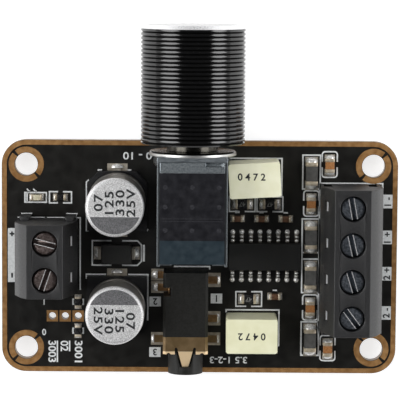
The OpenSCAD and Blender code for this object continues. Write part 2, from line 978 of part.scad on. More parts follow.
module power_screw(i) {
  color("#7a7474")
    on_power()
      translate([0, pole_t(i, power_poles), 0])
        terminal_screw(slot_power[i]);
}

module power_clamp(i) {
  color("#b9b9b4")
    on_power()
      translate([0, pole_t(i, power_poles), 0])
        terminal_clamp();
}

module speaker_terminal_housing() {
  color("#2b2b2d")
    on_speaker()
      terminal_housing(speaker_poles);
}

module speaker_busbars() {
  color("#c4c2ba")
    on_speaker()
      for (i = [0:speaker_poles - 1])
        translate([0, pole_t(i, speaker_poles), 0])
          busbar();
}

module speaker_screw(i) {
  color("#70757b")
    on_speaker()
      translate([0, -pole_t(i, speaker_poles), 0])
        terminal_screw(slot_speaker[i]);
}

module speaker_clamp(i) {
  color("#b9b9b4")
    on_speaker()
      translate([0, -pole_t(i, speaker_poles), 0])
        terminal_clamp();
}

// Electrolytic capacitors
module electrolytic_can(place) {
  z0 = top + base_lift + base_floor;
  h = can_h - base_lift - base_floor;
  r = can_d / 2;
  color("#b9b9bb")
    translate(concat(place, z0))
      rotate_extrude()
        difference() {
          union() {
            square([r - can_round, h]);
            square([r, h - can_round]);
            translate([r - can_round, h - can_round])
              intersection() {
                circle(can_round);
                square(can_round);
              }
          }
          translate([r + can_groove_r - can_groove_depth, can_groove_z])
            circle(can_groove_r);
        }
}

// Moulded base with two cut corners, on the side that out points to
module electrolytic_base(place, out) {
  half = base_w / 2;
  color("#1d1d1e")
    translate(concat(place, top + base_lift))
      mirror([0, out < 0 ? 1 : 0, 0])
        difference() {
          linear_extrude(base_h)
            polygon([
              [-half, -half], [half, -half], [half, half - base_chamfer], [half - base_chamfer, half],
              [base_chamfer - half, half], [-half, half - base_chamfer]
            ]);
          translate([0, 0, base_floor])
            cylinder(d = can_d + 2 * slip, h = base_h);
        }
}

module electrolytic_leads() {
  half = base_w / 2;
  color("#cfd0d0")
    for (place = [can_1, can_2], side = [0, 1])
      translate(concat(place, top))
        mirror([0, side, 0])
          block([-can_lead_w / 2, half - can_lead_in, 0], [can_lead_w / 2, half + can_lead_out, base_lift]);
}

// Film capacitors
module film_capacitor(place, skew) {
  color("#e6e6c4")
    translate(concat(place, top + film_lift))
      rotate(skew)
        linear_extrude(film_h - film_lift)
          rounded_rect(film_l, film_w, 0.35);
}

module film_capacitor_leads() {
  color("#cfd0d0")
    for (place = film_pins)
      translate(concat(place, -pin_tail))
        cylinder(d = film_lead_d, h = pin_tail + top + film_lift);
}

// Amplifier chip
module amplifier_chip() {
  half = chip_w / 2;
  draft = 0.12;
  waist = chip_lift + chip_h / 2;
  color("#1c1c1d")
    translate([chip_x, chip_y, top])
      bar_along_x(chip_l)
        polygon([
          [draft - half, chip_lift], [half - draft, chip_lift], [half, waist],
          [half - draft, chip_lift + chip_h], [draft - half, chip_lift + chip_h], [-half, waist]
        ]);
}

module amplifier_chip_leads() {
  half = chip_w / 2;
  reach = chip_span / 2;
  shoulder = chip_lift + chip_h / 2;
  color("#cfd0d0")
    translate([chip_x, chip_y, top])
      for (side = [0, 1], i = [0:7])
        mirror([0, side, 0])
          bar_along_x(chip_lead_w, (i - 3.5) * lead_pitch)
            polygon([
              [half, shoulder], [half + 0.15, shoulder], [reach - 0.6, 0], [reach, 0],
              [reach, chip_lead_t], [reach - 0.5, chip_lead_t],
              [half + 0.3, shoulder + chip_lead_t], [half, shoulder + chip_lead_t]
            ]);
}

// Diode
module diode_body() {
  half = diode_l / 2;
  draft = 0.15;
  waist = 1.1;
  color("#1e1e1f")
    translate([diode_x, diode_y, top])
      bar_along_y(diode_w)
        polygon([
          [draft - half, 0.1], [half - draft, 0.1], [half, waist],
          [half - draft, diode_h], [draft - half, diode_h], [-half, waist]
        ]);
}

module diode_leads() {
  half = diode_l / 2;
  reach = diode_span / 2;
  waist = 1.1;
  color("#cfd0d0")
    translate([diode_x, diode_y, top])
      for (side = [0, 1])
        mirror([side, 0, 0])
          bar_along_y(diode_lead_w)
            polygon([
              [half, waist], [reach - diode_lead_t, waist], [reach - diode_lead_t, diode_lead_t],
              [half + 0.05, diode_lead_t], [half + 0.05, 0], [reach, 0],
              [reach, waist + diode_lead_t], [half, waist + diode_lead_t]
            ]);
}

// Chip parts: every list entry is [place, length, width, height, quarter turns, metal end]
function chip_list(places, l, w, h, turns, end) =
  [for (place = places) [place, l, w, h, turns, end]];
bead_list = chip_list(beads, bead_l, bead_w, bead_h, 1, bead_end);
output_list = chip_list(output_caps, mid_l, mid_w, mid_h, 1, mid_end);
signal_list = chip_list(signal_caps, small_l, small_w, cap_h, 0, small_end);
large_list = chip_list(mid_resistors, mid_l, mid_w, small_h, 0, small_end);
small_list = concat(
  chip_list([supply_resistor], small_l, small_w, small_h, 0, small_end),
  chip_list(option_resistors, small_l, small_w, small_h, 1, small_end)
);
led_list = chip_list([led], small_l, small_w, small_h, 0, small_end);
all_chips = concat(bead_list, output_list, signal_list, large_list, small_list, led_list);

module on_chip(chip) {
  translate(concat(chip[0], top))
    rotate(90 * chip[4])
      children();
}

// Bodies between the metal ends
module chip_bodies(chips) {
  for (chip = chips)
    on_chip(chip) {
      half = chip[1] / 2 - chip[5];
      block([-half, -chip[2] / 2, 0], [half, chip[2] / 2, chip[3]]);
    }
}

module ferrite_beads() {
  color("#46474a")
    chip_bodies(bead_list);
}

module output_capacitors() {
  color("#a5703d")
    chip_bodies(output_list);
}

module signal_capacitors() {
  color("#a5703d")
    chip_bodies(signal_list);
}

module large_resistors() {
  color("#2a2a2c")
    chip_bodies(large_list);
}

module small_resistors() {
  color("#2a2a2c")
    chip_bodies(small_list);
}

module indicator_led() {
  color("#efe7cf")
    chip_bodies(led_list);
}

module chip_end_caps() {
  color("#cfd0d0")
    for (chip = all_chips)
      on_chip(chip)
        for (side = [0, 1])
          mirror([side, 0, 0]) {
            half_w = chip[2] / 2 + end_proud;
            block(
              [chip[1] / 2 - chip[5], -half_w, 0],
              [chip[1] / 2, half_w, chip[3] + end_proud]
            );
          }
}

// Solder that rises against an end of the given width and height
module solder_fillet(w, h) {
  reach = max(fillet, fillet_share * w);
  rise = min(reach, 0.85 * h);
  bar_along_y(w)
    difference() {
      square([reach, rise]);
      translate([1.15 * reach, 1.15 * reach])
        circle(reach);
    }
}

module solder_fillets() {
  color("#d4d5d6") {
    for (chip = all_chips, side = [0, 1])
      on_chip(chip)
        mirror([side, 0, 0])
          translate([chip[1] / 2, 0, 0])
            solder_fillet(chip[2], chip[3]);
    for (place = [can_1, can_2], side = [0, 1])
      translate(concat(place, top))
        mirror([0, side, 0])
          translate([0, base_w / 2 + can_lead_out, 0])
            rotate(90)
              solder_fillet(can_lead_w, base_lift);
    for (side = [0, 1])
      translate([diode_x, diode_y, top])
        mirror([side, 0, 0])
          translate([diode_span / 2, 0, 0])
            solder_fillet(diode_lead_w, diode_h / 2);
    for (side = [0, 1], i = [0:7])
      translate([chip_x + (i - 3.5) * lead_pitch, chip_y, top])
        mirror([0, side, 0])
          translate([0, chip_span / 2, 0])
            rotate(90)
              solder_fillet(chip_lead_w, chip_lead_t);
    on_jack()
      for (contact = concat(jack_feet, clip_feet))
        mirror([contact[0] < 0 ? 1 : 0, 0, 0])
          translate([jack_side + clip_foot, contact[1], 0])
            solder_fillet(strip_w, strip_t);
  }
}

clip_feet = [for (side = [-1, 1]) [side, jack_len - clip_l + 0.5 + strip_w / 2]];

// Solder cones round the pins under the board
module solder_joints() {
  color("#d4d5d6") {
    for (pin = flat_pins)
      difference() {
        solder_cone(pin[0], pin_r(pin));
        flat_pin(pin, cut);
      }
    for (place = film_pins)
      difference() {
        solder_cone(place, film_lead_d / 2);
        translate(concat(place, -pin_tail))
          cylinder(d = film_lead_d + slip / 2, h = pin_tail + cut);
      }
  }
}

module solder_cone(place, r) {
  translate(concat(place, -solder_h))
    cylinder(r1 = r + solder_rim, r2 = r + solder_spread, h = solder_h);
}

circuit_board();
pot_bracket();
pot_bushing();
pot_front_casting();
pot_front_housing();
pot_rear_housing();
pot_switch_housing();
pot_front_wafer();
pot_rear_wafer();
pot_front_rotor();
pot_rear_rotor();
pot_shaft();
pot_terminals();
knob_shell();
knob_core();
jack_housing();
jack_ground_clip();
jack_contact(jack_feet[0]);  // jack_contact_1
jack_contact(jack_feet[1]);  // jack_contact_2
jack_contact(jack_feet[2]);  // jack_contact_3
jack_contact(jack_feet[3]);  // jack_contact_4
power_terminal_housing();
power_busbars();
power_screw(0);  // power_screw_1
power_screw(1);  // power_screw_2
power_clamp(0);  // power_clamp_1
power_clamp(1);  // power_clamp_2
speaker_terminal_housing();
speaker_busbars();
speaker_screw(0);  // speaker_screw_1
speaker_screw(1);  // speaker_screw_2
speaker_screw(2);  // speaker_screw_3
speaker_screw(3);  // speaker_screw_4
speaker_clamp(0);  // speaker_clamp_1
speaker_clamp(1);  // speaker_clamp_2
speaker_clamp(2);  // speaker_clamp_3
speaker_clamp(3);  // speaker_clamp_4
electrolytic_can(can_1);  // electrolytic_can_1
electrolytic_can(can_2);  // electrolytic_can_2
electrolytic_base(can_1, -1);  // electrolytic_base_1
electrolytic_base(can_2, 1);  // electrolytic_base_2
electrolytic_leads();
film_capacitor(film_1, film_skew);  // film_capacitor_1
film_capacitor(film_2, 0);  // film_capacitor_2
film_capacitor_leads();
amplifier_chip();
amplifier_chip_leads();
diode_body();
diode_leads();
ferrite_beads();
output_capacitors();
signal_capacitors();
large_resistors();
small_resistors();
indicator_led();
chip_end_caps();
solder_fillets();
solder_joints();
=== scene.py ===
# %% [markdown]
# # A stereo amplifier board with a volume knob
# The board is about as big as a matchbox. Its shapes come from a CAD model, which is loaded here as a
# fixed frame. Blender adds what the solids don't carry: plating, print, grain, gloss and light.
# Working round a fixed frame keeps every added piece at its true place and size.

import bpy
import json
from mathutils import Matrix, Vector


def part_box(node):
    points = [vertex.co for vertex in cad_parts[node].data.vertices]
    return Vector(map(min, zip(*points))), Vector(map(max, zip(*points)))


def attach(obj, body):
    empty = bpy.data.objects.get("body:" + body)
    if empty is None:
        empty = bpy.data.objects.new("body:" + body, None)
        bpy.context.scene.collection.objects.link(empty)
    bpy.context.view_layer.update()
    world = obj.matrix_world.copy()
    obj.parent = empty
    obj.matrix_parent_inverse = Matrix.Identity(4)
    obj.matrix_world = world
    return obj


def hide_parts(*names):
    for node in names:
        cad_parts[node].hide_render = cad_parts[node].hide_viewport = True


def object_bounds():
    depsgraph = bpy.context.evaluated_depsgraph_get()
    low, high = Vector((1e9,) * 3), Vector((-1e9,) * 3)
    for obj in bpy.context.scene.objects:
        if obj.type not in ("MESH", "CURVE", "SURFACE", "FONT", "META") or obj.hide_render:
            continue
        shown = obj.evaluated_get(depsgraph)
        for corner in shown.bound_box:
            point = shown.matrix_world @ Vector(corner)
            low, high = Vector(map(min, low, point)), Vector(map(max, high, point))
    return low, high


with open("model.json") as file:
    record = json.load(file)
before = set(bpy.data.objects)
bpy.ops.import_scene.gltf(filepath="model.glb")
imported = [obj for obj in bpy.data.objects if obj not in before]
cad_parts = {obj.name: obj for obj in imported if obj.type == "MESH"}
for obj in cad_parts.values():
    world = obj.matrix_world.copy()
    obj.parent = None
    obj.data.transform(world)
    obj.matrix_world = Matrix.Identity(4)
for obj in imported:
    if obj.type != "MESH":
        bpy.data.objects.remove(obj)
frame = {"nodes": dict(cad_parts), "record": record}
cad_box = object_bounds()
nodes = frame["nodes"]
print("CAD nodes loaded:", len(nodes))

# %% [markdown]
# ## Measuring
# Every added piece is placed from the frame, so small helpers read it: one gives a node's box in
# millimetres, and one lists the boxes of the separate solids in a node, such as the sixteen legs of
# the chip. A mesh from CAD has split edges, so a copy is welded before its islands are told apart.

# %% Measuring helpers
import json
import math

import bmesh
import bpy
from mathutils import Matrix, Vector

MM = 0.001
WELD_GAP = 0.001 * MM


def corners(node):
    """The lowest and highest corner of a node, in millimetres."""
    low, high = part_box(node)
    return low / MM, high / MM


def middle_of(box):
    """The middle of a box."""
    return (box[0] + box[1]) / 2


def solids(node):
    """The boxes of a node's separate solids in millimetres, in order of their places."""
    bm = bmesh.new()
    bm.from_mesh(nodes[node].data)
    bmesh.ops.remove_doubles(bm, verts=bm.verts, dist=WELD_GAP)
    unseen = set(bm.verts)
    found = []
    while unseen:
        island, front = [], [unseen.pop()]
        while front:
            here = front.pop()
            island.append(here.co / MM)
            near = {edge.other_vert(here) for edge in here.link_edges} & unseen
            unseen -= near
            front.extend(near)
        low = Vector([min(p[i] for p in island) for i in range(3)])
        high = Vector([max(p[i] for p in island) for i in range(3)])
        found.append((low, high))
    bm.free()
    return sorted(found, key=lambda box: tuple(round(x, 2) for x in box[0] + box[1]))


board_low, board_high = corners("circuit_board")
board_top = board_high.z
print("board top at", round(board_top, 3), "mm;", len(solids("amplifier_chip_leads")), "chip legs")

# %% [markdown]
# ## The camera
# The board was photographed from almost straight above, with a long lens that stands a little to the
# knob's side. A long lens on a far camera keeps the sides of the tall parts nearly hidden, which a
# short lens close by would not. The tilt and the small roll were matched to the board's edges.

# %% Camera
EYE = Vector((-0.04, -41.744, 325.03)) * MM
AIM = Vector((-0.04, -7.995, 1.6)) * MM
ROLL = math.radians(0.371)
LENS = 210.6

back = (EYE - AIM).normalized()
right = Vector((-1, 0, 0))
up = back.cross(right)
axes = Matrix((right, up, back)).transposed().to_4x4()
lens = bpy.data.cameras.new("long_lens")
lens.lens = LENS
lens.clip_start = 0.01
camera = bpy.data.objects.new("camera", lens)
bpy.context.scene.collection.objects.link(camera)
camera.matrix_world = Matrix.Translation(EYE) @ axes @ Matrix.Rotation(ROLL, 4, "Z")
bpy.context.scene.camera = camera
print("camera", round((EYE - AIM).length, 3), "m from the board")

# %% [markdown]
# ## Shader building blocks
# A shader is a small chain of nodes. One function adds a node, sets its properties and links its
# inputs, and a second starts a material from its colour, roughness and metalness. Colours are written
# as the sRGB values that the eye knows, and one function turns them into the linear light that
# shaders work in. Two more make a material with grain, or let a second colour and roughness take over
# on an axis, which also paints highlights and shade.

# %% Material helpers
NOISE_RANGE = (0.3, 0.7)
dressed = set()


def named(start):
    """The node with this name, or the numbered nodes that start with it."""
    return [n for n in nodes if n == start or n.rpartition("_")[0] == start and n[-1].isdigit()]


def linear(colour):
    """An sRGB hex colour as the linear RGBA that a shader socket takes."""
    parts = [int(colour[i:i + 2], 16) / 255 for i in (1, 3, 5)]
    return [p / 12.92 if p <= 0.04045 else ((p + 0.055) / 1.055) ** 2.4 for p in parts] + [1.0]


def add(tree, kind, inputs, **settings):
    """A new shader node with its settings; an input is a value or another node's socket."""
    made = tree.nodes.new("ShaderNode" + kind)
    for name, value in settings.items():
        setattr(made, name, value)
    for name, value in inputs.items():
        if isinstance(value, bpy.types.NodeSocket):
            tree.links.new(value, made.inputs[name])
        else:
            made.inputs[name].default_value = value
    return made


def surface(name, colour, roughness, metallic=0.0, **more):
    """A new material on a Principled shader; more holds other sockets, with _ for a space."""
    made = bpy.data.materials.new(name)
    made.use_nodes = True
    shader = made.node_tree.nodes["Principled BSDF"]
    shader.inputs["Base Color"].default_value = linear(colour)
    shader.inputs["Roughness"].default_value = roughness
    shader.inputs["Metallic"].default_value = metallic
    for socket, value in more.items():
        shader.inputs[socket.replace("_", " ")].default_value = value
    return made


def grained(
        name, colour, roughness, metallic, size, shades, spread, relief=0.0, stretch=(1, 1, 1), on=(),
        **more):
    """A material on these nodes: noise of a real size in mm varies colour, roughness and relief."""
    material = surface(name, colour, roughness, metallic, **more)
    for node in [n for start in on for n in named(start)]:
        nodes[node].data.materials.clear()
        nodes[node].data.materials.append(material)
        dressed.add(node)
    tree = material.node_tree
    shader = tree.nodes["Principled BSDF"]
    spot = add(tree, "TexCoord", {})
    place = add(tree, "Mapping", {"Vector": spot.outputs["Object"], "Scale": stretch})
    noise = add(tree, "TexNoise", {"Vector": place.outputs[0], "Scale": 1 / (size * MM), "Detail": 2.0})
    share = add(tree, "MapRange", {
        "Value": noise.outputs[0], "From Min": NOISE_RANGE[0], "From Max": NOISE_RANGE[1]})
    mixed = add(tree, "MixRGB", {
        "Fac": share.outputs[0], "Color1": linear(shades[0]), "Color2": linear(shades[1])})
    tree.links.new(mixed.outputs[0], shader.inputs["Base Color"])
    gloss = add(tree, "MapRange", {
        "Value": share.outputs[0], "To Min": spread[0], "To Max": spread[1]})
    tree.links.new(gloss.outputs[0], shader.inputs["Roughness"])
    if relief:
        bump = add(tree, "Bump", {"Height": noise.outputs[0], "Distance": relief * MM})
        tree.links.new(bump.outputs[0], shader.inputs["Normal"])
    return material


def fade(material, axis, start, end, colour, roughness):
    """A second colour and roughness take over along an axis, between two places in mm."""
    tree = material.node_tree
    shader = tree.nodes["Principled BSDF"]
    spot = add(tree, "TexCoord", {})
    parts = add(tree, "SeparateXYZ", {0: spot.outputs["Object"]})
    share = add(tree, "MapRange", {
        "Value": parts.outputs[axis], "From Min": start * MM, "From Max": end * MM})
    first = shader.inputs["Base Color"].links[0].from_socket
    mixed = add(tree, "MixRGB", {"Fac": share.outputs[0], "Color1": first, "Color2": linear(colour)})
    tree.links.new(mixed.outputs[0], shader.inputs["Base Color"])
    first = shader.inputs["Roughness"].links[0].from_socket
    gloss = add(tree, "MapRange", {"Value": share.outputs[0], "To Min": first, "To Max": roughness})
    tree.links.new(gloss.outputs[0], shader.inputs["Roughness"])
    return material


print("black is", linear("#000000"), "and white is", linear("#ffffff"))

# %% [markdown]
# ## White paper
# The board lies on white paper. Paper would take more light than the parts to look pure white, so a
# little glow is added to it for the camera and for mirror surfaces alone, which see it as bright as
# it looks. Its matte share still takes the shadow of the board.

# %% Floor
FLOOR_SIZE = 6.0
PAPER = "#bcbcbc"
PAPER_GLOW = 0.74

# Uncoated paper is matte, with hardly any sheen.
paper = surface("white_paper", PAPER, 0.9, Specular_IOR_Level=0.2)
tree = paper.node_tree
path = add(tree, "LightPath", {})
seen = add(tree, "Math", {0: path.outputs["Is Camera Ray"], 1: path.outputs["Is Glossy Ray"]})
shown = add(tree, "Math", {
    0: seen.outputs[0], 1: path.outputs["Is Transmission Ray"]}, use_clamp=True)
glow = add(tree, "Math", {0: shown.outputs[0], 1: PAPER_GLOW}, operation="MULTIPLY")
shader = tree.nodes["Principled BSDF"]
shader.inputs["Emission Color"].default_value = linear("#ffffff")
tree.links.new(glow.outputs[0], shader.inputs["Emission Strength"])

bm = bmesh.new()
bmesh.ops.create_grid(bm, x_segments=1, y_segments=1, size=FLOOR_SIZE / 2)
sheet_mesh = bpy.data.meshes.new("paper_sheet")
bm.to_mesh(sheet_mesh)
bm.free()
sheet_mesh.materials.append(paper)
sheet = bpy.data.objects.new("paper_sheet", sheet_mesh)
bpy.context.scene.collection.objects.link(sheet)
sheet.location.z = cad_box[0].z
print("paper at", round(cad_box[0].z / MM, 2), "mm, under the pins")

# %% [markdown]
# ## Light
# Two oval softboxes stand at the sides, the left one larger. Their mirror images are the two bright
# bands on the knob, where each ring holds a pointed streak, and the dark gap between them is the unlit
# ceiling. A fill lamp leans over the knob's side. It opens the shadows and is kept out of mirrors, so
# black tops stay black. The room is pale near the horizon, and round metal edges catch a line from it.

# %% Softboxes and room
LAMP_FAR = 0.5
LAMP_LONG = 0.47
LAMP_FORWARD = math.radians(4)
LAMP_STRENGTH = 3.2
SIDE_LAMPS = ((1, math.radians(51.5), 0.42), (-1, math.radians(58.5), 0.34))
FILL_STRENGTH = 2.7
FILL_LEAN = math.radians(35)
FILL_SIDE = 0.3
ROOM_TOP = "#3e3e40"
ROOM_EDGE = "#d8d8d8"
ROOM_DARK_FROM = 0.6


def softbox(name, toward, sides, strength):
    """A soft oval lamp at a set distance that faces the board; its power grows with its size."""
    light = bpy.data.lights.new(name, "AREA")
    light.shape = "ELLIPSE"
    light.size, light.size_y = sides
    light.energy = strength * math.pi * sides[0] * sides[1]
    lamp = bpy.data.objects.new(name, light)
    bpy.context.scene.collection.objects.link(lamp)
    along = Vector((0, 1, 0)).cross(toward).normalized()
    facing = Matrix((along, toward.cross(along), toward)).transposed()
    lamp.matrix_world = Matrix.Translation(toward * LAMP_FAR) @ facing.to_4x4()
    return lamp


for side, lean, width in SIDE_LAMPS:
    toward = Vector((side * math.sin(lean), -math.sin(LAMP_FORWARD), math.cos(lean))).normalized()
    softbox("side_lamp", toward, (width, LAMP_LONG), LAMP_STRENGTH)
toward = Vector((0, -math.sin(FILL_LEAN), math.cos(FILL_LEAN)))
fill = softbox("fill_lamp", toward, (FILL_SIDE, FILL_SIDE), FILL_STRENGTH)
fill.visible_glossy = False

room = bpy.data.worlds.new("studio_room")
room.use_nodes = True
bpy.context.scene.world = room
tree = room.node_tree
way = add(tree, "TexCoord", {})
parts = add(tree, "SeparateXYZ", {0: way.outputs["Generated"]})
height = add(tree, "MapRange", {
    "Value": parts.outputs["Z"], "From Max": ROOM_DARK_FROM}, interpolation_type="SMOOTHSTEP")
walls = add(tree, "MixRGB", {
    "Fac": height.outputs[0], "Color1": linear(ROOM_EDGE), "Color2": linear(ROOM_TOP)})
tree.links.new(walls.outputs[0], tree.nodes["Background"].inputs["Color"])
bpy.context.scene.view_settings.view_transform = "Standard"
print("softboxes at the sides:", len(SIDE_LAMPS), "and one fill lamp")

# %% [markdown]
# ## Solder mask
# The mask is a sprayed ink over copper: nearly black, satin, and a little wavy over the tracks. The
# cut edges of the laminate show its tan resin instead. The surface normal tells the two apart, so
# one material serves the whole board: where the surface stands upright, the resin takes over.

# %% Solder mask on glass epoxy
MASK_WAVE = 1.6
# Satin ink is a dark, soft mirror with slow waves.
mask = grained(
    "solder_mask", "#141311", 0.36, 0, MASK_WAVE, ("#12110f", "#181714"), (0.3, 0.42), 0.008,
    on=["circuit_board"])
tree = mask.node_tree
shader = tree.nodes["Principled BSDF"]
facing = add(tree, "NewGeometry", {})
upright = add(tree, "SeparateXYZ", {0: facing.outputs["Normal"]})
flatness = add(tree, "Math", {0: upright.outputs["Z"]}, operation="ABSOLUTE")
inked = shader.inputs["Base Color"].links[0].from_socket
edge = add(tree, "MixRGB", {"Fac": flatness.outputs[0], "Color1": linear("#8a6c44"), "Color2": inked})
tree.links.new(edge.outputs[0], shader.inputs["Base Color"])
print("mask waves are", MASK_WAVE, "mm wide")

# %% [markdown]
# ## Plastics and resins
# Moulded parts differ less in colour than in skin. Eroded moulds leave a fine matte grain, a polished
# mould leaves a gloss, and glass-filled nylon shows pale specks. Each of these is noise of a real
# grain size that shifts colour, roughness and relief together. Each material names the CAD nodes that
# it dresses; numbered nodes such as the four speaker screws share one name.

# %% Moulded plastics
# Fine eroded grain is about 0.05 mm and can't show at this distance, so it is drawn at 0.25 mm.
GRAIN = 0.25
# Glass fibres near the skin make it satin, so its flat tops take some of the softboxes' light.
grained(
    "glass_filled_nylon", "#1c1c1d", 0.5, 0, GRAIN, ("#1a1a1b", "#232324"), (0.43, 0.56), 0.005,
    IOR=1.6, on=["power_terminal_housing", "speaker_terminal_housing"])
# The pot's sections came from a polished mould: dark, a little blue, with soft flow marks.
grained(
    "phenolic_moulding", "#19191d", 0.38, 0, GRAIN * 4, ("#131317", "#1a1a1f"), (0.32, 0.46), 0.004,
    on=["pot_front_housing", "pot_rear_housing"])
# The switch section is a bluer resin from the same kind of mould.
grained(
    "polyester_moulding", "#212c33", 0.38, 0, GRAIN * 4, ("#1e2930", "#263239"), (0.32, 0.46), 0.004,
    on=["pot_switch_housing"])
# An ejector pin leaves a spot that is a shade paler and drier than the moulding.
mark_resin = grained(
    "worn_moulding_mark", "#2a2a2f", 0.5, 0, GRAIN, ("#1d1d22", "#2b2b30"), (0.42, 0.6))
# The socket is dry and dull beside the glossier parts.
grained(
    "black_nylon", "#1c1c1a", 0.5, 0, GRAIN, ("#181816", "#222220"), (0.42, 0.58), 0.005,
    Specular_IOR_Level=0.3, on=["jack_housing"])
# A capacitor's base comes from an eroded mould, black and evenly dull.
grained(
    "capacitor_base_resin", "#131314", 0.45, 0, GRAIN, ("#101011", "#18181a"), (0.4, 0.55), 0.005,
    on=["electrolytic_base"])
# Dipped polyester is smooth and creamy, with a faint cloud in its colour.
grained(
    "cream_polyester", "#e2e1c0", 0.4, 0, GRAIN * 6, ("#dfdebb", "#e6e5c5"), (0.34, 0.46), 0.004,
    on=["film_capacitor_2"])
# The one beside the volume control stands in its shade, so its resin is written paler: painted light
# that lifts that shade.
grained(
    "cream_polyester_painted_light", "#efeed0", 0.4, 0, GRAIN * 6, ("#f0efcf", "#f6f5d9"), (0.34, 0.46), 0.004,
    on=["film_capacitor_1"])
# Silica filler gives the chip a dry, dark grey skin.
grained(
    "silica_filled_epoxy", "#141412", 0.55, 0, GRAIN, ("#0e0e0d", "#161614"), (0.48, 0.62), 0.005,
    on=["amplifier_chip", "diode_body"])
# Unfilled nylon is milky white with a soft sheen.
grained(
    "natural_nylon", "#d9d5c6", 0.5, 0, GRAIN * 4, ("#d2cdbc", "#dfdbcd"), (0.45, 0.55),
    on=["pot_front_rotor", "pot_rear_rotor"])
# Pressed paper and resin show thin brown layers.
grained(
    "phenolic_laminate", "#6b4a2c", 0.5, 0, GRAIN * 2, ("#5f4025", "#775334"), (0.42, 0.58),
    stretch=(1, 1, 4), on=["pot_front_wafer", "pot_rear_wafer"])
# Milky epoxy lets some light in, so the lens looks deep and soft.
grained(
    "milky_epoxy", "#e9e2c6", 0.25, 0, GRAIN * 2, ("#e2dabb", "#efe9d2"), (0.2, 0.32),
    Transmission_Weight=0.25, IOR=1.5, on=["indicator_led"])
print("materials so far:", len(bpy.data.materials))

# %% [markdown]
# ## Ceramics
# Chip parts are fired: the tan capacitors are barium titanate, the dark grey beads are ferrite, and
# the resistors carry a black glaze. All are matte to silky, with small shade changes from the kiln.

# %% Ceramics
# Fired titanate is a warm, silky tan with darker kiln spots.
grained(
    "barium_titanate", "#a8703f", 0.42, 0, GRAIN, ("#925f31", "#b07c4e"), (0.36, 0.5),
    on=["output_capacitors"])
# A denser mix fires to a dark brown.
grained(
    "dark_barium_titanate", "#6b4a33", 0.42, 0, GRAIN, ("#4c3323", "#6c4c35"), (0.36, 0.5),
    on=["signal_capacitors"])
# Pressed ferrite is a dull slate grey with fine pits.
grained(
    "nickel_zinc_ferrite", "#4c4c4a", 0.45, 0, GRAIN * 2, ("#444442", "#565553"), (0.4, 0.55), 0.004,
    on=["ferrite_beads"])
# Glaze over a resistor is smooth and nearly black, with a sharp gloss.
grained(
    "black_glaze", "#1f1f20", 0.25, 0, GRAIN * 2, ("#1a1a1b", "#262627"), (0.2, 0.34),
    on=["large_resistors", "small_resistors"])
print("materials so far:", len(bpy.data.materials))

# %% [markdown]
# ## Metals
# A metal's colour is the colour of its mirror, so what it mirrors decides how it looks. Polished tin
# and nickel show the dark ceiling with white edges, while blasted or drawn surfaces blur the
# softboxes into an even grey. Roughness therefore matters more here than colour.

# %% Metals
# Brush marks are about 0.03 mm wide; they are drawn at 0.12 mm so that they show.
BRUSH = 0.12
# A can is drawn from sheet with a blasted end: an even, sparkling grey.
drawn_aluminium = grained(
    "drawn_aluminium", "#dedee0", 0.52, 0.8, BRUSH, ("#b8b7b7", "#ffffff"), (0.52, 0.66), 0.005,
    on=["electrolytic_can"])
# Rolled zinc plate keeps streaks along the strip.
plated_steel = grained(
    "zinc_plated_steel", "#a3abb1", 0.42, 1.0, BRUSH, ("#949ca2", "#b2b9be"), (0.38, 0.5), 0.003,
    stretch=(0.15, 1, 1), on=["pot_bracket"])
# A die casting keeps a cloudy, blue-grey skin under its plating.
grained(
    "plated_zinc_casting", "#9fa6aa", 0.45, 1.0, GRAIN, ("#868e92", "#aab1b5"), (0.4, 0.55), 0.005,
    on=["pot_front_casting"])
# Bright nickel is a clear mirror with a slight warm tint.
grained(
    "bright_nickel", "#c9c7c2", 0.16, 1.0, GRAIN * 4, ("#c4c2bd", "#cecdc8"), (0.12, 0.22),
    on=["pot_shaft", "power_clamp", "speaker_clamp"])
# The bushing's neck is written dark, a painted reflection of the dark room, and the rim of its
# flange is written bright, a painted highlight.
painted_bushing = grained(
    "brass_bushing_painted_dark_rim_lit", "#46443f", 0.22, 1.0, GRAIN * 2, ("#3c3a36", "#504e48"), (0.18, 0.28),
    on=["pot_bushing"])
# Gold-toned contact springs, smooth from the rolling mill.
grained(
    "phosphor_bronze", "#c09a6e", 0.34, 1.0, GRAIN * 2, ("#b58d60", "#caa57c"), (0.28, 0.42),
    on=["jack_contact"])
# Matte tin plate gives an even, soft, warm grey.
grained(
    "matte_tin", "#c9c2b4", 0.5, 0.85, GRAIN * 2, ("#bbb3a4", "#d6d0c3"), (0.44, 0.56),
    on=["pot_terminals", "electrolytic_leads", "film_capacitor_leads", "diode_leads"])
# Legs that were cut and bent are darker, with sharper glints.
grained(
    "worn_tin", "#77736a", 0.35, 0.8, GRAIN * 2, ("#66625a", "#88847b"), (0.3, 0.42),
    on=["amplifier_chip_leads"])
# The fin in a terminal's slit is written dark, a painted shade in the slit. Each block has its own
# copy, for its own painted highlight along the ridge.
painted_fins = {block: grained(
    "folded_tin_painted_shade_and_ridge", "#4c4a46", 0.45, 0.6, GRAIN * 2, ("#403e3b", "#595751"), (0.4, 0.5),
    on=[block + "_busbars"]) for block in ("power", "speaker")}
# End caps are fired silver under a plated barrier: a warm, broken grey.
grained(
    "barrier_plated_silver", "#cdbfa8", 0.4, 0.55, GRAIN * 2, ("#b9aa90", "#dcd1be"), (0.34, 0.48),
    on=["chip_end_caps"])
# Solder levelled by hot air lies flat on its pad, grey with soft ripples.
levelled_solder = grained(
    "levelled_solder", "#a59d8f", 0.45, 0.35, GRAIN * 3, ("#948b7c", "#b8b1a4"), (0.36, 0.54), 0.004)
# Reflowed solder freezes bright and smooth, so each drop holds a highlight.
solder_tin = grained(
    "reflowed_solder", "#e8e6e0", 0.4, 0.55, GRAIN * 3, ("#eae8e3", "#fafaf8"), (0.2, 0.32),
    on=["solder_fillets", "solder_joints"])
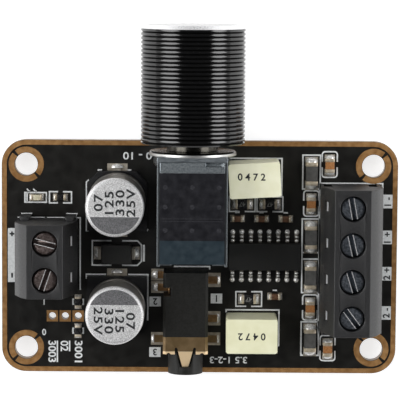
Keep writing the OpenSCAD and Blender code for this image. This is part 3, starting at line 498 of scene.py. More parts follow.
# Zinc on the screws is blue-grey, mottled by the barrel it was plated in.
grained(
    "zinc_plated_screw", "#868c94", 0.36, 1.0, GRAIN, ("#666d76", "#9ca2aa"), (0.28, 0.46), 0.005,
    on=["speaker_screw"])
# A thicker passivated skin turns the power screws a brownish grey.
grained(
    "brown_passivated_screw", "#9a8c88", 0.36, 1.0, GRAIN, ("#76645f", "#a19490"), (0.28, 0.46), 0.005,
    on=["power_screw"])
# Turned brass is golden, with faint tool marks.
grained(
    "turned_brass", "#c49a6a", 0.28, 1.0, GRAIN * 2, ("#b78d5e", "#cfa678"), (0.22, 0.36), 0.004,
    on=["knob_core"])
# Rolled brass is brown and dull from handling.
clip_brass = grained(
    "rolled_brass_clip", "#8e7756", 0.34, 0.6, GRAIN * 4, ("#7c6646", "#8e7756"), (0.3, 0.38),
    on=["jack_ground_clip"])
# A thin gold flash over copper looks tan, with cloudy patches.
bare_copper = grained(
    "gold_flashed_copper", "#9c7345", 0.45, 0.35, GRAIN * 3, ("#8e663a", "#ab8252"), (0.38, 0.55),
    0.004)
# Dye in the oxide skin is black and clear-sealed, so it mirrors like lacquer.
black_anodise = grained(
    "black_anodised_aluminium", "#0a0a0a", 0.16, 0, GRAIN * 2, ("#080808", "#0c0c0c"), (0.1, 0.16),
    IOR=1.66, on=["knob_shell"])
print("materials made:", len(bpy.data.materials))

# %% [markdown]
# ## Second colours on one piece, with painted light
# Some parts take a second colour and roughness along their length. Behind the casting's front the
# bracket is written darker and rougher. The clip's tongue is written bright, a painted highlight. The
# bushing's neck is written dark, a painted reflection of the dark room, and the rim of its flange
# bright, a painted highlight. The fin in each terminal's slit is written dark, a painted shade, with a
# painted highlight along its ridge. A can is blasted on its end, while its side stays smooth and
# mirrors the dark board, and its colour there is written darker, a painted shade. The second colour
# fades in between two places that are read from the frame.

# %% Fade the second colours in, painted light among them
FRONT_FADE = 0.1
TONGUE_FADE = 0.1
TONGUE_LENGTH = 2.24
casting_front = corners("pot_front_casting")[0].y
# Behind the casting's front the bracket is written darker and rougher.
fade(plated_steel, "Y", casting_front, casting_front + FRONT_FADE, "#787d80", 0.5)
FLANGE_HIGHLIGHT = (0.42, 0.3)
flange_back = corners("pot_bracket")[0].y
# The bright rim of the flange is a painted highlight.
fade(painted_bushing, "Y", flange_back - FLANGE_HIGHLIGHT[0], flange_back - FLANGE_HIGHLIGHT[1], "#d4d4d2", 0.42)
clip_low, clip_high = corners("jack_ground_clip")
bend = clip_high.y - TONGUE_LENGTH
# The tongue's bright colour is a painted highlight where it tilts toward the light.
fade(clip_brass, "Y", bend, bend + TONGUE_FADE, "#ffe2b6", 0.5)
CAN_ROUND = 0.5
CAN_FADE = 0.3
can_shoulder = corners("electrolytic_can_1")[1].z - CAN_ROUND
# The side's darker colour is a painted shade; its smoother finish is the can's own.
fade(drawn_aluminium, "Z", can_shoulder, can_shoulder - CAN_FADE, "#a6a29d", 0.3)
RIDGE_HIGHLIGHT_EDGES = (0.12, 0.08)
FIN_PLACES = {"power": 0.12, "speaker": 0.28}
# A white band along each fin's ridge is a painted highlight; past it the painted dark returns.
for block, edge, way in (
        ("power", corners("power_busbars")[0].x, 1), ("speaker", corners("speaker_busbars")[1].x, -1)):
    ridge = edge + way * FIN_PLACES[block]
    fade(painted_fins[block], "X", ridge - RIDGE_HIGHLIGHT_EDGES[0], ridge - RIDGE_HIGHLIGHT_EDGES[1], "#ffffff", 0.4)
    fade(painted_fins[block], "X", ridge + RIDGE_HIGHLIGHT_EDGES[1], ridge + RIDGE_HIGHLIGHT_EDGES[0], "#4c4a46", 0.45)
print("nodes dressed:", len(dressed), "of", len(nodes))

# %% [markdown]
# ## Soft edges
# Moulded and stamped edges are never knife sharp, and a small bevel is what catches the light there.
# The bevel is a modifier, so it leaves the frame's mesh as it is. Its width in millimetres follows
# how each part is made: a moulded case is rounder than a sheared strip.

# %% Soften the moulded and stamped edges
SOFT_EDGES = {
    "power_terminal_housing": 0.1, "speaker_terminal_housing": 0.1, "film_capacitor": 0.2,
    "pot_front_housing": 0.16, "pot_rear_housing": 0.16, "pot_switch_housing": 0.12,
    "pot_bracket": 0.08, "pot_front_casting": 0.1, "jack_housing": 0.1, "jack_ground_clip": 0.13,
    "amplifier_chip": 0.05, "diode_body": 0.1, "ferrite_beads": 0.06, "output_capacitors": 0.06,
    "signal_capacitors": 0.05, "large_resistors": 0.04, "small_resistors": 0.04, "indicator_led": 0.06,
    "chip_end_caps": 0.1, "power_screw": 0.05, "speaker_screw": 0.05, "electrolytic_base": 0.1,
    "amplifier_chip_leads": 0.09, "jack_contact": 0.05, "pot_bushing": 0.06,
}
SHARP = math.radians(38)

for start, width in SOFT_EDGES.items():
    for node in named(start):
        weld = nodes[node].modifiers.new("weld", "WELD")
        weld.merge_threshold = WELD_GAP
        bevel = nodes[node].modifiers.new("soft_edges", "BEVEL")
        bevel.width = width * MM
        bevel.segments = 2
        bevel.limit_method = "ANGLE"
        bevel.angle_limit = SHARP
        nodes[node].modifiers.new("even_shading", "WEIGHTED_NORMAL")
print("edges softened on", sum(len(named(s)) for s in SOFT_EDGES), "nodes")

# %% [markdown]
# ## Building pieces
# New pieces are flat prints, plating, drops of solder and one turned skin. A few mesh helpers cover
# the flat ones: a slab from an outline, a mitred ribbon along a path, and lettering. They work in
# millimetres, and the last helper scales the result and rides it on its body.

# %% Mesh helpers
PRINT = 0.02
MITRE_LIMIT = 0.3
BOLD = 0.02
LETTER_STEPS = 4


def heights(low, high):
    """The given heights, or those of a print on the board."""
    return (board_top - PRINT if low is None else low), (board_top + PRINT if high is None else high)


def slab(bm, outline, low=None, high=None):
    """A solid plate on an outline of XY points, lying on the board unless heights are given."""
    low, high = heights(low, high)
    floor = [bm.verts.new((x, y, low)) for x, y in outline]
    roof = [bm.verts.new((x, y, high)) for x, y in outline]
    bm.faces.new(roof)
    bm.faces.new(floor[::-1])
    for i in range(len(outline)):
        bm.faces.new((floor[i - 1], floor[i], roof[i], roof[i - 1]))


def ribbon(bm, path, width, closed=False, low=None, high=None):
    """A stroke of even width along XY points, mitred at its corners."""
    low, high = heights(low, high)
    points = [Vector(p) for p in path]
    count = len(points)
    rings = []
    for i, point in enumerate(points):
        legs = []
        if i or closed:
            legs.append((point - points[i - 1]).normalized())
        if i + 1 < count or closed:
            legs.append((points[(i + 1) % count] - point).normalized())
        sides = [Vector((-leg.y, leg.x)) for leg in legs]
        middle = (sides[0] + sides[-1]).normalized()
        reach = middle * (width / 2 / max(MITRE_LIMIT, middle.dot(sides[0])))
        a, b = point + reach, point - reach
        section = ((b, low), (b, high), (a, high), (a, low))
        rings.append([bm.verts.new((p.x, p.y, z)) for p, z in section])
    for i in range(0 if closed else 1, count):
        for j in range(4):
            bm.faces.new((rings[i - 1][j - 1], rings[i - 1][j], rings[i][j], rings[i][j - 1]))
    if not closed:
        bm.faces.new(rings[0])
        bm.faces.new(rings[-1][::-1])


def arc(middle, radius, start, end, steps):
    """Points on an arc, with angles in degrees."""
    turns = [math.radians(start + (end - start) * i / steps) for i in range(steps + 1)]
    return [(middle[0] + radius * math.cos(t), middle[1] + radius * math.sin(t)) for t in turns]


def rounded(low, high, radius, steps):
    """The outline of a rectangle with round corners."""
    spots = [
        ((high[0] - radius, high[1] - radius), 0), ((low[0] + radius, high[1] - radius), 90),
        ((low[0] + radius, low[1] + radius), 180), ((high[0] - radius, low[1] + radius), 270)]
    return [p for spot, turn in spots for p in arc(spot, radius, turn, turn + 90, steps)]


def rectangle(low, high):
    """The outline of a rectangle with square corners."""
    return [(low[0], low[1]), (high[0], low[1]), (high[0], high[1]), (low[0], high[1])]


def letters(bm, text, place, height, turn=0.0, low=None, high=None, widen=1.0, apart=1.0, long=None):
    """Plain lettering of a given height, turned by degrees about its own middle."""
    low, high = heights(low, high)
    curve = bpy.data.curves.new("letters", "FONT")
    curve.body = text
    curve.extrude = 0.5
    curve.offset = BOLD
    curve.resolution_u = LETTER_STEPS
    curve.space_character = apart
    maker = bpy.data.objects.new("letters", curve)
    mesh = bpy.data.meshes.new_from_object(maker)
    xs = [v.co.x for v in mesh.vertices]
    ys = [v.co.y for v in mesh.vertices]
    scale = height / (max(ys) - min(ys))
    wide = long / (max(xs) - min(xs)) if long else scale * widen
    middle = Vector(((max(xs) + min(xs)) / 2, (max(ys) + min(ys)) / 2, 0))
    thick = Matrix.Diagonal((wide, scale, high - low, 1))
    spin = Matrix.Rotation(math.radians(turn), 4, "Z")
    lift = Matrix.Translation((place[0], place[1], (high + low) / 2))
    mesh.transform(lift @ spin @ thick @ Matrix.Translation(-middle))
    bm.from_mesh(mesh)
    bpy.data.meshes.remove(mesh)
    bpy.data.objects.remove(maker)
    bpy.data.curves.remove(curve)


def piece(name, bm, materials, body="board", smooth=None):
    """Finishes a mesh in millimetres as a piece that rides on a body."""
    bmesh.ops.recalc_face_normals(bm, faces=bm.faces)
    mesh = bpy.data.meshes.new(name)
    bm.to_mesh(mesh)
    bm.free()
    mesh.transform(Matrix.Scale(MM, 4))
    for material in materials:
        mesh.materials.append(material)
    if smooth is not None:
        mesh.shade_smooth()
        mesh.set_sharp_from_angle(angle=math.radians(smooth))
    made = bpy.data.objects.new(name, mesh)
    bpy.context.scene.collection.objects.link(made)
    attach(made, body)
    print(name, "has", len(mesh.polygons), "faces")
    return made


# %% [markdown]
# ## The knob's ribbed skin
# The knob was turned from aluminium bar: a cutter left 27 rings, a bevel was polished bright, and the
# rest was anodised black. The CAD solid leaves each ring as plain facets, which would mirror a softbox
# as a flat bar. So a finer profile is turned here inside the same sizes, with crowned lands and sharp
# valleys. Turning an outline about an axis is the lathe's own way, and keeps the rings true.

# %% Turn the knob
KNOB_RIBS = 27
KNOB_BEVEL = 0.5
KNOB_TAIL = 0.2
RIB_DEPTH = 0.22
RIB_LAND = 0.56
RIB_CROWN = 0.028
# A power below two bends the crown most at its middle, which points the streaks of light at their ends.
CROWN_POWER = 1.5
SHELL_WALL = 1.5
SHELL_FACE = 1.6
BEVEL_BAND = 0.25
TURN_STEPS = 144
LAND_STEPS = 8
VALLEY_STEPS = 2
RIB_SMOOTH = 25

knob_low, knob_high = corners("knob_shell")
knob_r = (knob_high.x - knob_low.x) / 2
knob_axis = ((knob_high.x + knob_low.x) / 2, (knob_high.z + knob_low.z) / 2)
rib_start = knob_low.y + KNOB_BEVEL
rib_run = (knob_high.y - KNOB_TAIL - rib_start) / KNOB_RIBS


def rib_radius(share):
    """The knob's radius at a share of one rib's pitch: a crowned land, then a sharp valley."""
    if share <= RIB_LAND:
        return knob_r - RIB_CROWN * abs(2 * share / RIB_LAND - 1) ** CROWN_POWER
    valley = (share - RIB_LAND) / (1 - RIB_LAND)
    return knob_r - RIB_CROWN - RIB_DEPTH * (1 - abs(2 * valley - 1))


shares = [RIB_LAND * i / LAND_STEPS for i in range(LAND_STEPS)]
shares += [RIB_LAND + (1 - RIB_LAND) * i / VALLEY_STEPS for i in range(VALLEY_STEPS)]
# Each point holds its radius, its place on the axis, and which of the two finishes leads up to it.
profile = [(0.0, knob_low.y, 0), (knob_r - KNOB_BEVEL - BEVEL_BAND, knob_low.y, 0)]
profile += [(knob_r - KNOB_BEVEL, knob_low.y, 1), (knob_r - RIB_CROWN, rib_start, 1)]
for rib in range(KNOB_RIBS):
    profile += [(rib_radius(s), rib_start + (rib + s) * rib_run, 0) for s in shares if rib or s]
profile += [(knob_r - RIB_CROWN, knob_high.y - KNOB_TAIL, 0), (knob_r - KNOB_TAIL, knob_high.y, 0)]
profile += [(knob_r - SHELL_WALL, knob_high.y, 0), (knob_r - SHELL_WALL, knob_low.y + SHELL_FACE, 0)]
profile += [(0.0, knob_low.y + SHELL_FACE, 0)]

bm = bmesh.new()
rings = []
for radius, y, _ in profile:
    angles = [2 * math.pi * i / TURN_STEPS for i in range(TURN_STEPS if radius else 1)]
    rings.append([bm.verts.new((
        knob_axis[0] + radius * math.sin(t), y, knob_axis[1] + radius * math.cos(t))) for t in angles])
for (ring, after), step in zip(zip(rings, rings[1:]), profile[1:]):
    for i in range(TURN_STEPS):
        loop = [ring[(i - 1) % len(ring)], ring[i % len(ring)]]
        loop += [after[i % len(after)], after[(i - 1) % len(after)]]
        face = bm.faces.new(list(dict.fromkeys(loop)))
        face.material_index = step[2]
# A diamond tool cuts through the dye, so the bevel is bright bare aluminium.
bevel_shine = grained(
    "polished_bevel", "#efeff0", 0.3, 1.0, GRAIN, ("#e6e6e8", "#f6f6f7"), (0.24, 0.36))
knob_skin = piece(
    "knob_skin", bm, [black_anodise, bevel_shine], "volume_control",
    RIB_SMOOTH)
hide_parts("knob_shell")

# %% [markdown]
# ## Bare copper
# A wide track runs round the board's rim, each mounting hole has a ring for the screw head, and three
# square pads take a solder bridge. They have no mask, so the gold-flashed copper shows. Each is a thin
# plate that follows the board's own outline. The rings are cut in two where they face the corner, so
# they are drawn as arcs and not as full circles.

# %% Copper rim, rings and pads
COPPER = 0.03
RIM_WIDTH = 0.66
RIM_INSET = 0.03
CORNER = 3.4
CORNER_STEPS = 12
RING_WIDTH = 0.8
RING_GAP = 0.05
RING_SPLIT = 5
RING_STEPS = 40
OPTION_PAD = 1.58
PAD_ARC_STEPS = 8

mounts = {m["name"]: m for m in frame["record"]["mounts"]}
holes = mounts["mounting_holes"]["dims"]
hole_spots = [
    (x * holes["spacing_x_mm"] / 2, y * holes["spacing_y_mm"] / 2) for x in (-1, 1) for y in (-1, 1)]
option_spots = [Vector(mounts[f"option_hole_{i}"]["pos_m"]) / MM for i in (1, 2, 3)]
option_r = mounts["option_hole_1"]["dims"]["r_mm"]

bm = bmesh.new()
inward = RIM_INSET + RIM_WIDTH / 2
middle = rounded(
    (board_low.x + inward, board_low.y + inward), (board_high.x - inward, board_high.y - inward),
    CORNER - inward, CORNER_STEPS)
ribbon(bm, middle, RIM_WIDTH, True, board_top - COPPER, board_top + COPPER)
ring_r = holes["hole_r_mm"] + RING_GAP + RING_WIDTH / 2
for x, y in hole_spots:
    corner = math.degrees(math.atan2(math.copysign(1, y), math.copysign(1, x)))
    for half in (corner, corner + 180):
        path = arc((x, y), ring_r, half + RING_SPLIT, half + 180 - RING_SPLIT, RING_STEPS)
        for face in (board_top, board_low.z):
            ribbon(bm, path, RING_WIDTH, False, face - COPPER, face + COPPER)
half = OPTION_PAD / 2
for spot in option_spots:
    for turn in (45, 135, 225, 315):
        outer = arc(spot, half * math.sqrt(2), turn, turn + 90, 1)
        inner = arc(spot, option_r, turn + 90, turn, PAD_ARC_STEPS)
        slab(bm, outer + inner, board_top - COPPER, board_top + COPPER)
piece("copper_rim", bm, [bare_copper])

# %% [markdown]
# ## Tinned pads
# Every soldered leg stands on a pad that is a little larger than its foot, coated with tin in the
# factory's oven. The feet are found first: a list holds each foot's kind, its box and the way out from
# its part. The pads grow from the feet, most of all on that outer side.

# %% Feet and their pads
PAD = 0.025
SOLDER_RATE = 0.6
SOLDER_FROM = 0.5
SOLDER_MIN = 0.42
SOLDER_SHARE = 0.38
CHIP_PARTS = [
    "ferrite_beads", "output_capacitors", "signal_capacitors", "large_resistors", "small_resistors",
    "indicator_led"]
PAD_SIDES = {
    "cap": 0.08, "leg": 0.05, "diode": 0.15, "can": 0.95, "socket": 0.5, "near": 0.32, "clip": 0.4}
SOCKET_FOOT = 1.3
CLIP_FOOT = (0.5, 1.5)
CAN_REACH = 0.1


def outward(spot, owner, axis):
    """The unit step along an axis that leads from an owner's middle to a spot."""
    step = Vector((0, 0, 0))
    step[axis] = math.copysign(1, spot[axis] - owner[axis])
    return step


feet = []
part_middles = [middle_of(box) for node in CHIP_PARTS for box in solids(node)]
for box in solids("chip_end_caps"):
    spot = middle_of(box)
    owner = min(part_middles, key=lambda middle: (middle - spot).length)
    away = spot - owner
    feet.append(("cap", box, outward(spot, owner, 0 if abs(away.x) > abs(away.y) else 1)))
for kind, node, body, axis in (
        ("leg", "amplifier_chip_leads", "amplifier_chip", 1), ("diode", "diode_leads", "diode_body", 0)):
    for box in solids(node):
        feet.append((kind, box, outward(middle_of(box), middle_of(corners(body)), axis)))
can_middles = [middle_of(corners(f"electrolytic_base_{i}")) for i in (1, 2)]
for box in solids("electrolytic_leads"):
    owner = min(can_middles, key=lambda middle: (middle - middle_of(box)).length)
    feet.append(("can", box, outward(middle_of(box), owner, 1)))
jack_low, jack_high = corners("jack_housing")
jack_middle = (jack_low + jack_high) / 2
for number in (1, 2, 3, 4):
    box = corners(f"jack_contact_{number}")
    away = outward(middle_of(box), jack_middle, 0)
    feet.append(("near" if away.x > 0 else "socket", box, away))
for away, edge in ((-1, clip_low.x), (1, clip_high.x)):
    ends = sorted((edge, edge - away * SOCKET_FOOT))
    box = (Vector((ends[0], clip_low.y + CLIP_FOOT[0], board_top)),
           Vector((ends[1], clip_low.y + CLIP_FOOT[1], board_top + PAD)))
    feet.append(("clip", box, Vector((away, 0, 0))))


def solder_reach(kind, box, away):
    """How far solder runs out from a foot: it grows with the foot's width."""
    width = (box[1] - box[0])[0 if away.y else 1]
    if kind == "cap":
        return SOLDER_RATE * (width - SOLDER_FROM)
    if kind == "can":
        return CAN_REACH
    return max(SOLDER_MIN, SOLDER_SHARE * width)


bm = bmesh.new()
for kind, box, away in feet:
    side = PAD_SIDES[kind]
    across = Vector((side, 0) if away.y else (0, side))
    out = away.xy * (solder_reach(kind, box, away) + PAD)
    low = Vector([min(a, a + b) for a, b in zip(box[0].xy - across, out)])
    high = Vector([max(a, a + b) for a, b in zip(box[1].xy + across, out)])
    slab(bm, rectangle(low, high), board_top - PAD, board_top + PAD)
piece("tinned_pads", bm, [levelled_solder])

# %% [markdown]
# ## Drops of solder
# Melted solder climbs each foot and freezes as a smooth drop, steep at its outer end. The CAD model
# has plain hollow fillets there. A drop is modelled as a quarter of an ellipsoid against the end of
# its foot: its points are worked out on a grid, and their convex hull closes the mesh. A chip's leg
# has three small swellings instead, at its toe, its bend and its shoulder, which are flat spheres.

# %% Solder drops
DROP_RISE = {"cap": 0.92, "diode": 0.6, "can": 1.0}
DROP_LEAST = 0.26
DROP_SLOPE = 1.2
DROP_SMOOTH = 60
# On a broad lead the drop starts some way in from its end, and stands a little higher.
DROP_INSETS = {"can": (0.45, 0.2), "near": (0.45, 0.16)}
DROP_SPREAD = {"cap": 0.56, "diode": 0.55, "can": 0.95, "socket": 0.65, "near": 0.6, "clip": 0.6}
SQUARENESS = 0.75
DROP_STEPS = 8
RISE_STEPS = 5

# Each swelling of a leg: its middle from the leg's end, and its half sizes along, across and up.
LEG_SWELLS = ((0.34, 0.39, 0.37, 0.34), (-0.28, 0.18, 0.3, 0.44), (-0.72, 0.18, 0.27, 0.17))
LEG_HEIGHTS = (0.0, 0.4, 0.94)
ROUND_STEPS = (14, 8)

bm = bmesh.new()
for kind, box, away in feet:
    size = box[1] - box[0]
    width = size.x if away.y else size.y
    if kind == "leg":
        end = Vector((middle_of(box).x, box[1].y if away.y > 0 else box[0].y, board_top))
        for (out, along, wide, tall), share in zip(LEG_SWELLS, LEG_HEIGHTS):
            spot = end + away * out + Vector((0, 0, share * size.z))
            shape = Matrix.Translation(spot) @ Matrix.Diagonal((wide, along, tall, 1))
            bmesh.ops.create_uvsphere(
                bm, u_segments=ROUND_STEPS[0], v_segments=ROUND_STEPS[1], radius=1, matrix=shape)
        continue
    rise = DROP_LEAST
    if kind in DROP_RISE:
        tallest = min(box[1].z - board_top, size.z, DROP_SLOPE * width)
        rise = max(DROP_LEAST, DROP_RISE[kind] * tallest)
    spread = DROP_SPREAD[kind] * width
    inset, lift = DROP_INSETS.get(kind, (0.0, 0.0))
    rise += lift
    reach = solder_reach(kind, box, away) + inset
    root = middle_of(box)
    root.z = board_top
    axis = 1 if away.y else 0
    root[axis] = box[1][axis] if away[axis] > 0 else box[0][axis]
    root -= away * inset
    across = Vector((away.y, away.x, 0))
    points = []
    for i in range(RISE_STEPS + 1):
        climb = math.pi / 2 * i / RISE_STEPS
        for j in range(DROP_STEPS + 1):
            turn = math.pi * (j / DROP_STEPS - 0.5)
            out = reach * math.cos(climb) * math.cos(turn) ** SQUARENESS
            wide = spread * math.cos(climb) ** SQUARENESS * math.sin(turn)
            points.append(root + away * out + across * wide + Vector((0, 0, rise * math.sin(climb))))
            if i == RISE_STEPS:
                break
    verts = [bm.verts.new(p) for p in points]
    bmesh.ops.convex_hull(bm, input=verts)
drops = piece("solder_drops", bm, [solder_tin], smooth=DROP_SMOOTH)
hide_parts("solder_fillets")

# %% [markdown]
# ## Printed frames
# White ink marks where each part goes. A screen printer pushes it through a mesh, so lines have one
# width, about 0.2 mm. Beads have closed frames, capacitors split round ones, and resistors a pair of
# brackets. The frames are drawn about the parts' middles, a touch off, as the parts slide in the oven.

# %% Frames round the small parts
LINE = 0.2
CORNER_ARC_STEPS = 5
# Epoxy ink is a chalky white that thins out in places.
ink = grained("white_epoxy_ink", "#e2e4e4", 0.55, 0, GRAIN, ("#cdd0d0", "#e2e4e4"), (0.5, 0.62))
silk = bmesh.new()


def about(box, half_x, half_y, slide=0.0):
    """Two corners of a frame about a part's middle, slid along Y."""
    middle = middle_of(box).xy + Vector((0, slide))
    half = Vector((half_x, half_y))
    return middle - half, middle + half


def line(*points):
    """One printed line through these points."""
    ribbon(silk, points, LINE)


def split_frame(low, high, gap, across_x, radius=0.0):
    """A printed frame in two halves: across_x puts the gaps in the sides that run along Y."""
    turn = (lambda x, y: (x, y)) if across_x else (lambda y, x: (x, y))
    a, b = (low, high) if across_x else (Vector((low.y, low.x)), Vector((high.y, high.x)))
    for near, far, sign in ((a.y, (a.y + b.y - gap) / 2, 1), (b.y, (a.y + b.y + gap) / 2, -1)):
        bends = [(a.x, far)]
        for x, start in ((a.x + radius, 180), (b.x - radius, 270)):
            sweep = [(x, near)]
            if radius:
                sweep = arc((x, near + sign * radius), radius, start, start + 90, CORNER_ARC_STEPS)
            bends += [(p[0], p[1] if sign > 0 else 2 * (near - radius) - p[1]) for p in sweep]
        bends.append((b.x, far))
        ribbon(silk, [turn(*p) for p in bends], LINE)


BEAD_FRAME = (1.215, 2.36)
BEAD_SLIDE = -0.18
CAP_FRAME = (1.04, 1.78)
CAP_SLIDE = -0.1
CAP_GAP = 0.75
CAP_CORNER = 0.4
RESISTOR_FRAME = (1.79, 1.03)
RESISTOR_GAP = 0.7
DASH = 0.6
DASH_OFF = 0.45
bead_frames = [about(box, *BEAD_FRAME, BEAD_SLIDE) for box in solids("ferrite_beads")]
for low, high in bead_frames:
    ribbon(silk, rectangle(low, high), LINE, True)
bead_frames.sort(key=lambda pair: pair[0].y)
for x in (bead_frames[1][0].x, bead_frames[1][1].x):
    line((x, bead_frames[1][1].y), (x, bead_frames[2][0].y))
for box in solids("output_capacitors"):
    split_frame(*about(box, *CAP_FRAME, CAP_SLIDE), CAP_GAP, True, CAP_CORNER)
for box in solids("large_resistors"):
    split_frame(*about(box, *RESISTOR_FRAME), RESISTOR_GAP, False)
for low, high in solids("signal_capacitors"):
    middle = (low.x + high.x) / 2
    line((middle - DASH / 2, low.y - DASH_OFF), (middle + DASH / 2, low.y - DASH_OFF))
print("frames round the small parts:", len(silk.faces), "faces")

# %% [markdown]
# ## Lines at the terminals
# The screw terminals have an outline too, with a trapezoid where each dovetail tongue stands out. The
# lines run just off the housings, so that they are seen from above, and stop short at a middle gap.

# %% Lines at the terminals
DOVETAIL = 0.55
OFF = 0.05
MID_GAP = 0.14
WALL_OFF = 0.35
TAIL_TOP = 0.66
TAIL_FOOT = 0.48
TAIL_PLACES = (0.8, 1.21)
STUB = 0.75
power_low, power_high = corners("power_terminal_housing")
speaker_low, speaker_high = corners("speaker_terminal_housing")
front = power_low.y + DOVETAIL
gap_x = (power_low.x + power_high.x) / 2 + WALL_OFF - MID_GAP / 2
wall = power_low.x - WALL_OFF
line((power_high.x + OFF, front), (gap_x + MID_GAP, front))
line((gap_x - MID_GAP, front), (wall, front), (wall, power_high.y))
for x in (power_low.x + TAIL_PLACES[0], power_high.x - TAIL_PLACES[1]):
    foot, tip = front - LINE / 2, power_low.y
    line((x - TAIL_FOOT, foot), (x - TAIL_TOP, tip), (x + TAIL_TOP, tip), (x + TAIL_FOOT, foot))
front = speaker_low.y - OFF
wall = speaker_low.x - WALL_OFF
line((speaker_high.x, front), (speaker_low.x + STUB, front))
line((speaker_low.x + STUB - LINE, front), (wall, front), (wall, front + STUB))
wall = speaker_high.x + LINE / 2
line((wall, front), (wall, speaker_high.y + WALL_OFF))
print("lines at the terminals:", len(silk.faces), "faces so far")

# %% [markdown]
# ## Lines at the larger parts
# The round capacitors have a square outline whose cut corners tell the poles apart, and the diode a
# frame with a bar on its cathode side. The light has two small arrows that point out of it. Each line
# starts from its part's own box and keeps one clearance.

# %% Lines at the capacitors and the diode
CAN_OFF = 0.14
CAN_CUT = 1.65
CAN_OPEN = 2.6
CAN_TICK = 0.32
CAN_TICKS = (1.72, 2.53)
can_1, can_2 = [corners(f"electrolytic_base_{i}") for i in (1, 2)]
left = can_1[1].x + CAN_OFF
line((left - CAN_TICK, can_1[0].y + CAN_CUT - CAN_TICK), (left, can_1[0].y + CAN_CUT),
     (left, can_1[1].y + CAN_OFF), (left - CAN_TICK, can_1[1].y + CAN_OFF))
for x in (can_1[1].x - CAN_TICKS[0], can_1[0].x + CAN_TICKS[1]):
    line((x - CAN_TICK, can_1[0].y - OFF), (x + CAN_TICK, can_1[0].y - OFF))
line((can_1[0].x - CAN_OFF, can_1[1].y - CAN_OFF), (can_1[0].x + OFF, can_1[1].y + CAN_OFF))
front = can_2[0].y - CAN_OFF
left, right_x = can_2[1].x + CAN_OFF, can_2[0].x - CAN_OFF
line((left, front + 2 * CAN_TICK), (left, front), (can_2[1].x - CAN_OPEN, front))
line((can_2[0].x + CAN_OPEN, front), (right_x, front), (right_x, can_2[1].y - CAN_CUT - CAN_TICK))

DIODE_OFF = (0.82, 0.97)
DIODE_CUT = 0.55
DIODE_GAP = 1.5
BAR_OFF = 0.34
BAR_WIDTH = 0.3
low, high = [corner.xy for corner in corners("diode_leads")]
low, high = low - Vector(DIODE_OFF), high + Vector(DIODE_OFF)
near, far = (low.x + high.x + DIODE_GAP) / 2, (low.x + high.x - DIODE_GAP) / 2
line((near, low.y), (high.x, low.y), (high.x, high.y), (near, high.y))
line((far, low.y), (low.x + DIODE_CUT, low.y), (low.x, low.y + DIODE_CUT), (low.x, high.y - DIODE_CUT),
     (low.x + DIODE_CUT, high.y), (far, high.y))
bar = low.x - BAR_OFF
ribbon(silk, [(bar, low.y + DIODE_CUT), (bar, high.y - DIODE_CUT)], BAR_WIDTH)
print("lines at the capacitors and the diode:", len(silk.faces), "faces so far")

# %% [markdown]
# ## Lines at the socket and the light
# The last lines stand at the socket's back, beside the film capacitors, and round the indicator light
# with its resistor. A light's sign has two arrows that leave it, each a stroke with a small head.

# %% Lines at the socket, the film capacitors and the light
SOCKET_OFF = (0.2, 0.27, 1.4)
FILM_OFF = 0.25
FILM_WIDE_OFF = 0.375
wall = jack_low.x - SOCKET_OFF[0]
front = jack_low.y - SOCKET_OFF[1]
line((wall, jack_low.y + CAN_OFF), (wall, front), (jack_high.x - SOCKET_OFF[2], front))
film_1, film_2 = [corners(f"film_capacitor_{i}") for i in (1, 2)]
line((film_1[1].x - FILM_OFF, film_1[0].y + OFF), (film_1[0].x - FILM_OFF, film_1[0].y + OFF),
     (film_1[0].x - FILM_OFF, film_1[1].y + FILM_OFF))
front = film_2[0].y - FILM_WIDE_OFF
wall = film_2[0].x - FILM_WIDE_OFF
line((film_2[1].x - OFF, film_2[0].y), (film_2[1].x - OFF, front), (wall, front), (wall, film_2[1].y))

LED_FRAME = (1.34, 0.67)
LED_BAR = 0.3
ARROW = 0.34
ARROW_STEM = (0.42, 0.52)
ARROW_PLACES = (0.95, 0.05)
SUPPLY_FRAME = (1.53, 0.78)
OPTION_FRAME = (0.72, 0.34)
OPTION_GAP = 1.12
led = solids("indicator_led")[0]
led_low, led_high = about(led, *LED_FRAME)
ribbon(silk, rectangle(led_low, led_high + Vector((LED_BAR, 0))), LINE, True)
line((led_high.x, led_low.y), (led_high.x, led_high.y))
for place in ARROW_PLACES:
    tip = Vector((middle_of(led).x + place, led_low.y))
    line((tip.x + ARROW_STEM[0], tip.y - ARROW_STEM[1]), (tip.x + OFF, tip.y - 2 * OFF))
    slab(silk, [(tip.x - 2 * OFF, tip.y), (tip.x + ARROW, tip.y - OFF), (tip.x, tip.y - ARROW)])
supply, *options = sorted(solids("small_resistors"), key=lambda box: box[0].y)
split_frame(*about(supply, *SUPPLY_FRAME), RESISTOR_GAP, False)
for box in options:
    split_frame(*about(box, *OPTION_FRAME), OPTION_GAP, False)
piece("printed_lines", silk, [ink])

# %% [markdown]
# ## Label patches
# Plain numbers and signs tell the user where to connect. Some are dark gaps in a white patch, which
# is made here as dark lettering on a white plate. Blender's built-in font is turned into a mesh, so a
# figure is a real thin shape and exports as one.

# %% White patches
# Dark ink is dull, a slightly blue black.
dark_ink = grained("dark_ink", "#1f2122", 0.6, 0, GRAIN, ("#191b1c", "#27292b"), (0.52, 0.66))
MARK = 0.028
MARK_HEIGHTS = (board_top + PRINT / 2, board_top + PRINT + MARK)
patches = bmesh.new()
marks = bmesh.new()


def patch(middle, size):
    """A white patch about its middle."""
    half = Vector(size) / 2
    slab(patches, rectangle(Vector(middle) - half, Vector(middle) + half))


POLE_PLACES = (2.45, 7.47, 12.57, 18.1)
POLE_PATCH = (1.3, 1.9)
POLE_EDGE = 1.35
FIGURE = 0.95
for place, text in zip(POLE_PLACES, ("1 -", "1 +", "2 +", "2 -")):
    spot = (board_low.x + POLE_EDGE, speaker_low.y + place)
    patch(spot, POLE_PATCH)
    letters(marks, text, spot, FIGURE, -90, *MARK_HEIGHTS)

